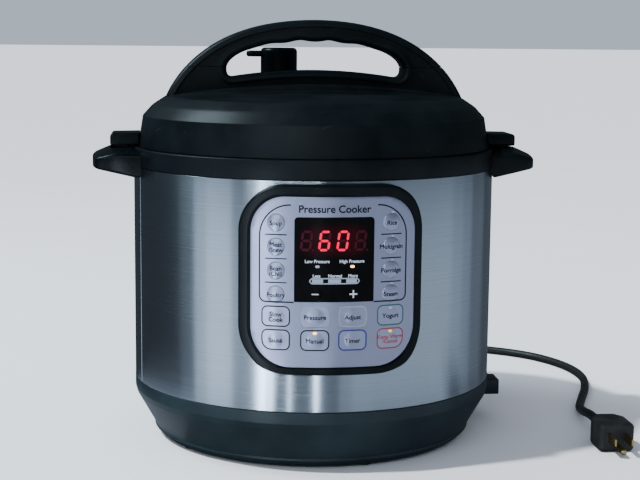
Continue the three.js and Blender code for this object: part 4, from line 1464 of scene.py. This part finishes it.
# Each bar's place in a digit, in half widths and half heights, and whether it lies flat.
SEGMENTS = {
    "top": (0, 1, True), "middle": (0, 0, True), "bottom": (0, -1, True), "upper_left": (-1, 0.5, False),
    "upper_right": (1, 0.5, False), "lower_left": (-1, -0.5, False), "lower_right": (1, -0.5, False),
}
DIGIT_PLACES = ((-19.4, None), (-6.9, 6), (5.6, 0), (18.0, None))  # across, and the digit shown there
SHOWN = {6: ("top", "middle", "bottom", "upper_left", "lower_left", "lower_right"),
         0: ("top", "bottom", "upper_left", "upper_right", "lower_left", "lower_right")}


def segment(kind, x):
    """One bar of a seven-segment digit, pointed at both ends and slanted."""
    half_wide = (DIGITS["wide"] - DIGITS["stroke"]) / 2
    half_tall = (DIGITS["tall"] - DIGITS["stroke"]) / 2
    column, row, lies_flat = SEGMENTS[kind]
    reach = (half_wide if lies_flat else half_tall / 2) - 0.35
    thick = DIGITS["stroke"] / 2
    shape = [(-reach, 0), (-reach + thick, -thick), (reach - thick, -thick), (reach, 0),
             (reach - thick, thick), (-reach + thick, thick)]
    points = []
    for along, across in shape:
        u, v = (along, across) if lies_flat else (-across, along)
        v += row * half_tall
        points.append(Vector((x + column * half_wide + u + DIGITS["slant"] * v, DIGITS["middle"] + v)))
    return points


def add_digits():
    """Four digits, of which the two in the middle are lit, with a dark point after each."""
    lit = Skin()
    unlit = Skin()
    for x, digit in DIGIT_PLACES:
        for kind in SEGMENTS:
            target = lit if digit is not None and kind in SHOWN[digit] else unlit
            target.merge(patch(segment(kind, x)))
        dot = Vector((x + DIGITS["wide"] / 2 + 0.6, DIGITS["middle"] - DIGITS["tall"] / 2 + 0.6))
        unlit.merge(patch([p + dot for p in circle(0.7, 16)]))
    add_drawing("digits_lit", lit, GLASS, glowing("digit_red", (1.0, 0.008, 0.07), 1.7))
    add_drawing("digits_unlit", unlit, GLASS, printed("digit_dark", (0.045, 0.0005, 0.008)))


# ---------------------------------------------------------------- collector and pot


def add_collector():
    """The clear cup that catches condensed water, with a rolled rim."""
    inner, half, reach, low, high, wall = 138.4, 32, 166, 150, 205, 1.8
    spread = math.degrees(math.asin(half / inner))
    outline = arc(inner, 90 - spread, 90 + spread, 12)
    outline += quadratic((-half + 0.5, reach - 12), (-half + 1.5, reach), (-half + 14, reach), 8)
    outline += quadratic((half - 14, reach), (half - 1.5, reach), (half - 0.5, reach - 12), 8)
    outline.reverse()
    skin = Skin()
    levels = [(2.4, low), (0.6, low + 0.5), (0, low + 2.2), (0, high - 1.2), (0.3, high), (wall - 0.3, high),
              (wall, high - 0.6), (wall, low + 3.4), (wall + 0.7, low + 2.2), (wall + 2.2, low + wall)]
    rings = [skin.add((p.x, p.y, z) for p in offset(outline, inset)) for inset, z in levels]
    for first, second in zip(rings, rings[1:]):
        skin.bridge(first, second)
    for ring, inset in ((rings[0], levels[0][0]), (rings[-1], levels[-1][0])):
        _, triangles = filled([offset(outline, inset)])
        skin.faces += [[ring[k] for k in triangle] for triangle in triangles]
    add_piece("condensation_collector", skin, "clear_cup")


def add_inner_pot():
    """The pot, with a rolled rim, a thick base and three filling marks inside."""
    skin = turned([
        (0, 62.3), (98, 62.3, 1), (98.6, 65.6, 0.6), (106, 66.4, 9), (111.5, 76.3, 16), (111.5, 215.6, 3),
        (116.5, 218.8, 1), (116.5, 221, 1), (112.5, 221, 1), (110, 216.9, 3), (110, 76.9, 14),
        (104.8, 67.3, 10), (97, 65.3, 6), (0, 65.3),
    ], 160)
    for height in (118, 150, 182):
        low, high = height - 0.3, height + 0.3
        skin.merge(turned([(109.7, low), (110.2, low), (110.2, high), (109.7, high)], 160))
    add_piece("inner_pot", skin, "polished_steel")


# ---------------------------------------------------------------- lid

VALVE_X, VALVE_Y = -22.8, 55
FLOAT_X, FLOAT_Y = 24, 52
LID_HOLES = ((VALVE_X, VALVE_Y, 6), (FLOAT_X, FLOAT_Y, 3))
SPLIT = 281.5  # where the grip parts from the handle's base
PARTING = 0.3


def add_lid_shell():
    """The domed lid, with a sloping band round its edge."""
    skin = turned([
        (131.8, 221.6, 0.3), (134.2, 221.6, 0.4), (132.5, 233, 40), (130.6, 244.5, 1.8), (123.2, 252.6, 14),
        (113.5, 258.9, 5), (100, 260.4, 30), (60, 262, 60), (0, 262.6), (0, 259.8), (60, 259.2, 40),
        (108, 256.5, 10), (127.4, 242, 3), (130.8, 235.6, 3),
    ], 192, 5)
    shell = add_piece("lid_shell", skin, "matte_black")
    bore(shell, LID_HOLES, 240, 275)


HANDLE_FOOT = 113  # from the lid's middle to the end of the handle


def arch():
    """The carrying handle seen from the front: the outer outline and the finger hole."""
    crest, steps = 317, 26
    foot = HANDLE_FOOT
    right = bezier((foot, 259), (foot - 12, 285), (69, crest), (0, crest), steps)
    left = [Vector((-p.x, p.y)) for p in reversed(right[:-1])]
    outline = [Vector((-foot, 250)), Vector((foot, 250)), *right, *left]
    half, low, corner_low, high, pitch, wave = 67.5, 279, 274, 302, 24, 1.5
    hole = quadratic((-half + 5, corner_low), (0, 2 * low - corner_low), (half - 5, corner_low), 24)
    hole += quadratic((half - 5, corner_low), (half, corner_low), (half, low + 1), 6)[1:]
    count = 72
    for i in range(1, count):
        turn = math.pi * i / count
        x = half * math.cos(turn)
        rise = low + 1 + (high - low - 1) * math.sin(turn)
        dip = wave * math.sin(turn) ** 4 * (1 + math.cos(2 * math.pi * x / pitch)) / 2
        hole.append(Vector((x, rise - dip)))
    hole += quadratic((-half, low + 1), (-half, corner_low), (-half + 5, corner_low), 6)[:-1]
    return outline, hole


HANDLE_HALF = 15
HANDLE_ROUND = round_rim(4.6, 5)[1:]
HANDLE_RIM = [(6.4, 0.9), (5.7, 0.8), (5.1, 0.1), (4.6, 0), *HANDLE_ROUND]
HOLE_RIM = [(6.6, 0.9), (5.9, 0.75), (5.2, -0.1), (4.4, -0.3),
            *((3.6 / 4.6 * inset, depth - 0.3) for inset, depth in HANDLE_ROUND)]


def whole_handle():
    """The arch before it is parted into the base and the grip."""
    outline, hole = arch()
    return slab(outline, -HANDLE_HALF, HANDLE_HALF, HANDLE_RIM, [hole], HOLE_RIM).mapped(seen_from_front)


def skirt(half, crown):
    """A stepped trim under the handle, its upper edge a shallow arc between the feet."""
    reach = math.sqrt(HANDLE_FOOT ** 2 - half ** 2) - 1
    end, under = 259.6, 256.8
    top = quadratic((reach, end), (0, 2 * crown - end), (-reach, end), 48)
    outline = [Vector((-reach, under)), Vector((reach, under)), *top]
    return slab(outline, -half, half, round_rim(1.3, 3)).mapped(seen_from_front)


def add_handle():
    """The arch over the lid: a base with its stepped skirt, and the grip above the parting line."""
    lower = whole_handle().merge(skirt(19.5, 268.8)).merge(skirt(24, 264.6))
    add_piece("lid_handle", lower, "matte_black", cut=(SPLIT, False))
    add_piece("handle_grip", whole_handle(), "matte_black", cut=(SPLIT + PARTING, True))


def add_fin(node, side):
    """A lug on the lid's side, which parks it on a side handle."""
    inner, outer, low, high, half = 133, 155, 222.2, 231.4, 16
    outline = rounded([(inner, low), (outer, low, 1.5), (outer, high, 2.8), (inner, high + 0.4)])
    skin = slab(outline, -half, half, round_rim(1.45, 5))
    add_piece(node, skin.mapped(lambda u, v, w: (side * u, side * w, v)), "gloss_black")


def add_inner_lid():
    """The pressed steel disc, with a stiffening bead and the lugs of the lock."""
    skin = turned([
        (0, 234), (60, 234, 2), (63, 232.8, 1), (66, 234, 2), (128.8, 234, 1), (128.8, 216, 0.3),
        (130, 216, 0.3), (130, 235.2, 2.4), (66.4, 235.2, 2), (63, 234, 1), (59.6, 235.2, 2), (0, 235.2),
    ], 160)
    skin.merge(lugs(124.3, 129.6, 216, 218.2, 180 / LUG["count"]))
    piece = add_piece("inner_lid", skin, "polished_steel")
    bore(piece, LID_HOLES, 229, 240)


def add_sealing_ring():
    skin = turned([
        (107.5, 223, 0.6), (109.5, 221.4, 0.8), (117.4, 221.4, 1), (118.6, 224, 1), (118.6, 233.7, 0.8),
        (107.5, 233.7, 0.8), (107.5, 231, 0.4), (112, 229, 0.8), (112, 226.5, 0.8), (107.5, 225, 0.4),
    ], 160)
    add_piece("sealing_ring", skin, "silicone")


def add_ring_rack():
    """The wire ring that holds the seal, on its six legs."""
    wire, radius = 1.1, 104.9
    path = [Vector((radius * p.x, radius * p.y, 227.1)) for p in circle(1, 120)]
    skin = Skin()
    rings = []
    for here in path:
        out = Vector((here.x, here.y, 0)).normalized()
        rings.append(skin.add(here + wire * (out * c.x + Vector((0, 0, c.y))) for c in circle(1, 10)))
    for first, second in zip(rings, rings[1:] + rings[:1]):
        skin.bridge(first, second)
    for i in range(6):
        turn = math.radians(60 * i + 30)
        leg = turned([(0, 227), (1, 227), (1, 233.7, 0.3), (0, 233.7)], 12)
        skin.merge(leg.mapped(moved(radius * math.cos(turn), radius * math.sin(turn))))
    add_piece("ring_rack", skin, "polished_steel")


def add_steam_pipe():
    skin = turned([
        (2.5, 229.5, 0.2), (5, 229.5, 0.4), (5, 230.5), (8, 230.5, 0.4), (8, 233.7, 0.4), (5, 233.7),
        (5, 282, 0.6), (2.5, 282, 0.3),
    ], 40)
    add_piece("steam_pipe", skin.mapped(moved(VALVE_X, VALVE_Y)), "polished_steel")


def add_valve_weight():
    skin = turned([
        (5.4, 270, 0.2), (9.4, 270, 0.4), (9.4, 287, 0.8), (8.4, 288, 0.4), (0, 288), (0, 282.5),
        (5.4, 282.5),
    ], 40)
    add_piece("steam_valve_weight", skin.mapped(moved(VALVE_X, VALVE_Y)), "polished_steel")


def add_release_handle():
    """The knob with its side lever: a soft domed cap with a grip groove round its foot."""
    cap = turned([
        (9.8, 268), (13.8, 268, 0.6), (14.6, 269, 0.8), (14.6, 270.6, 0.3), (14.1, 271.1, 0.3),
        (14.1, 272, 0.3), (14.6, 272.5, 0.3), (14.6, 295.5, 3.4), (8, 295.5, 1), (7.2, 294.9, 0.6),
        (0, 294.9), (0, 288.4), (9.8, 288.4, 0.6),
    ], 72, 6)
    lever_outline = rounded([(-26, 5.2, 4), (-26, -5.2, 4), (-11, -7.4), (-11, 7.4)])
    knob = cap.merge(slab(lever_outline, 288.2, 293.0, round_rim(1.8, 4)))
    add_piece("steam_release_handle", knob.mapped(moved(VALVE_X, VALVE_Y)), "gloss_black")


def add_float_valve():
    skin = turned([
        (0, 225.6), (4.2, 225.6, 0.8), (4.2, 228, 0.4), (2.2, 228), (2.2, 262.4, 0.6), (0, 262.4),
    ], 32)
    add_piece("float_valve", skin.mapped(moved(FLOAT_X, FLOAT_Y)), "polished_steel")


# ---------------------------------------------------------------- assembly

add_base_shell()
add_feet()
add_sleeve()
add_collar()
add_side_handle("left_handle", -1)
add_side_handle("right_handle", 1)
add_housing()
add_lock_ring()
add_heating_plate()
add_temperature_sensor()
add_sensor_spring()
add_bezel()
add_film()
add_window()
add_keys()
add_key_outlines()
add_key_labels()
add_column_lines()
add_lamps()
add_window_print()
add_digits()
for softened_part in (("socket_housing", "base_plastic", 1.2), ("bottom_plate", "base_plastic", 0.4),
                      ("heat_shield", "galvanised", 0.2), ("anti_block_shield", "polished_steel", 0.25),
                      ("display_module", "display", 0.6), ("control_board", "board", 0.3),
                      ("inlet_pins", "brass", 0.2)):
    add_softened(*softened_part)
add_collector()
add_inner_pot()
add_lid_shell()
add_handle()
add_fin("left_fin", -1)
add_fin("right_fin", 1)
add_inner_lid()
add_sealing_ring()
add_ring_rack()
add_steam_pipe()
add_valve_weight()
add_release_handle()
add_float_valve()

# ---------------------------------------------------------------- floor and light


def add_floor():
    """A wide plain floor that the steel and plastic don't reflect."""
    reach = 40.0
    mesh = bpy.data.meshes.new("floor")
    mesh.from_pydata([(-reach, -reach, 0), (reach, -reach, 0), (reach, reach, 0), (-reach, reach, 0)], [],
                     [(0, 1, 2, 3)])
    mesh.materials.append(pale_surface())
    floor = new_object("floor", mesh)
    floor.visible_glossy = False


LIGHT_TARGET = Vector((0, 0, 0.12))


def from_cooker(turn, rise, distance):
    """A place seen from the cooker: degrees round from the front towards +X, degrees up, metres."""
    turn, rise = math.radians(turn), math.radians(rise)
    flat = distance * math.cos(rise)
    return AXIS + Vector((flat * math.sin(turn), -flat * math.cos(turn), distance * math.sin(rise)))


def add_light(name, kind, place, strength, color, **shape):
    data = bpy.data.lights.new(name, kind)
    for key, value in shape.items():
        setattr(data, key, value)
    data.energy = strength
    data.color = color
    light = new_object(name, data, place)
    light.rotation_euler = (LIGHT_TARGET - place).to_track_quat("-Z", "Y").to_euler()
    light.visible_camera = False
    return light


def add_lights():
    """The sun casts the shadow, and the two softboxes put the highlights on the plastic."""
    key = add_light("key", "SUN", from_cooker(-75, 59, 3), 3.9, (0.94, 0.97, 1.0), angle=math.radians(3))
    key.visible_glossy = False
    add_light("softbox", "AREA", from_cooker(-106, 52, 1.8), 20, (0.7, 0.9, 1.0), shape="RECTANGLE",
              size=0.6, size_y=0.6)
    add_light("over_front", "AREA", from_cooker(-25, 27, 1.7), 5, (0.8, 0.93, 1.0), shape="RECTANGLE",
              size=1.2, size_y=0.3)


ROOM = (0.42, 0.56, 0.66)
BACKDROP = (0.42, 0.49, 0.57)


def add_world():
    """A room that lights matt surfaces well but shows dim in reflections, and a pale backdrop."""
    world = bpy.data.worlds.new("studio")
    world.use_nodes = True
    world.cycles.sampling_method = "NONE"
    tree = world.node_tree
    path = tree.nodes.new("ShaderNodeLightPath")
    seen = tree.nodes["Background"]
    seen.inputs["Color"].default_value = (*ROOM, 1)
    seen.inputs["Strength"].default_value = 0.1
    layers = (("Is Diffuse Ray", (0.82, 0.88, 1.0), 0.56), ("Is Camera Ray", BACKDROP, 1.15))
    for ray, color, strength in layers:
        layer = tree.nodes.new("ShaderNodeBackground")
        layer.inputs["Color"].default_value = (*color, 1)
        layer.inputs["Strength"].default_value = strength
        mix = tree.nodes.new("ShaderNodeMixShader")
        tree.links.new(path.outputs[ray], mix.inputs[0])
        tree.links.new(seen.outputs[0], mix.inputs[1])
        tree.links.new(layer.outputs[0], mix.inputs[2])
        seen = mix
    tree.links.new(seen.outputs[0], tree.nodes["World Output"].inputs["Surface"])
    bpy.context.scene.world = world


# Boards that stand round the cooker, and boards that lie just above the floor: the distance and height of
# their two edges, then the first and last degree round from the front and the glow of each.
CARD_EDGES = ((0.5, -0.3), (0.5, 0.2))
CARDS = (
    (-155, -86, 0.05), (-86, -74.5, 0.14), (-74.5, -66, 0.85), (-66, -50, 1.3), (-50, -38.5, 0.58),
    (-38.5, -36, 1.0), (-36, -34, 4.0), (-34, -30.8, 12.0), (-30.8, -29, 1.6), (-29, -26.9, 8.0),
    (-26.9, -19, 0.25), (-18.3, -17.1, 7.0), (-17.1, -4.2, 0.2), (-4.0, -2.6, 10.5), (-2.6, 3, 0.3),
    (3, 9, 0.24), (9, 16, 0.46),
    (16, 80, 0.58), (80, 90, 0.46), (90, 100, 0.36), (100, 118, 0.2), (118, 155, 0.1),
)
GROUND_CARD_EDGES = ((0.125, 0.0004), (0.22, 0.0004))
GROUND_CARDS = (
    (-180, -165, 0.22), (-165, -150, 0.32), (-150, -135, 0.46), (-135, -60, 0.7), (-60, 20, 0.2),
    (20, 160, 0.1), (160, 180, 0.15),
)


def add_card(name, edges, first, last, glow):
    """A lit board round part of the cooker, between two edges, that only shows in reflections."""
    steps = max(1, round((last - first) / 10))
    points = []
    for k in range(steps + 1):
        for distance, height in edges:
            place = from_cooker(first + (last - first) * k / steps, 0, distance)
            points.append((place.x, place.y, height))
    mesh = bpy.data.meshes.new(name)
    mesh.from_pydata(points, [], [(k, k + 1, k + 3, k + 2) for k in range(0, 2 * steps, 2)])
    finish = Finish(name, (0, 0, 0), 0.9)
    tint = finish.blend(finish.mottle(3), (0.76, 0.9, 1.08), (0.82, 0.96, 1.15))
    finish.link(tint, "Emission Color").set("Emission Strength", glow)
    finish.set("Specular IOR Level", 0.0)
    mesh.materials.append(finish.material)
    card = new_object(name, mesh)
    card.visible_camera = False
    card.visible_diffuse = False
    card.visible_shadow = False
    card.visible_transmission = False


add_floor()
add_world()
add_lights()
for card in CARDS:
    add_card("card", CARD_EDGES, *card)
for card in GROUND_CARDS:
    add_card("ground_card", GROUND_CARD_EDGES, *card)
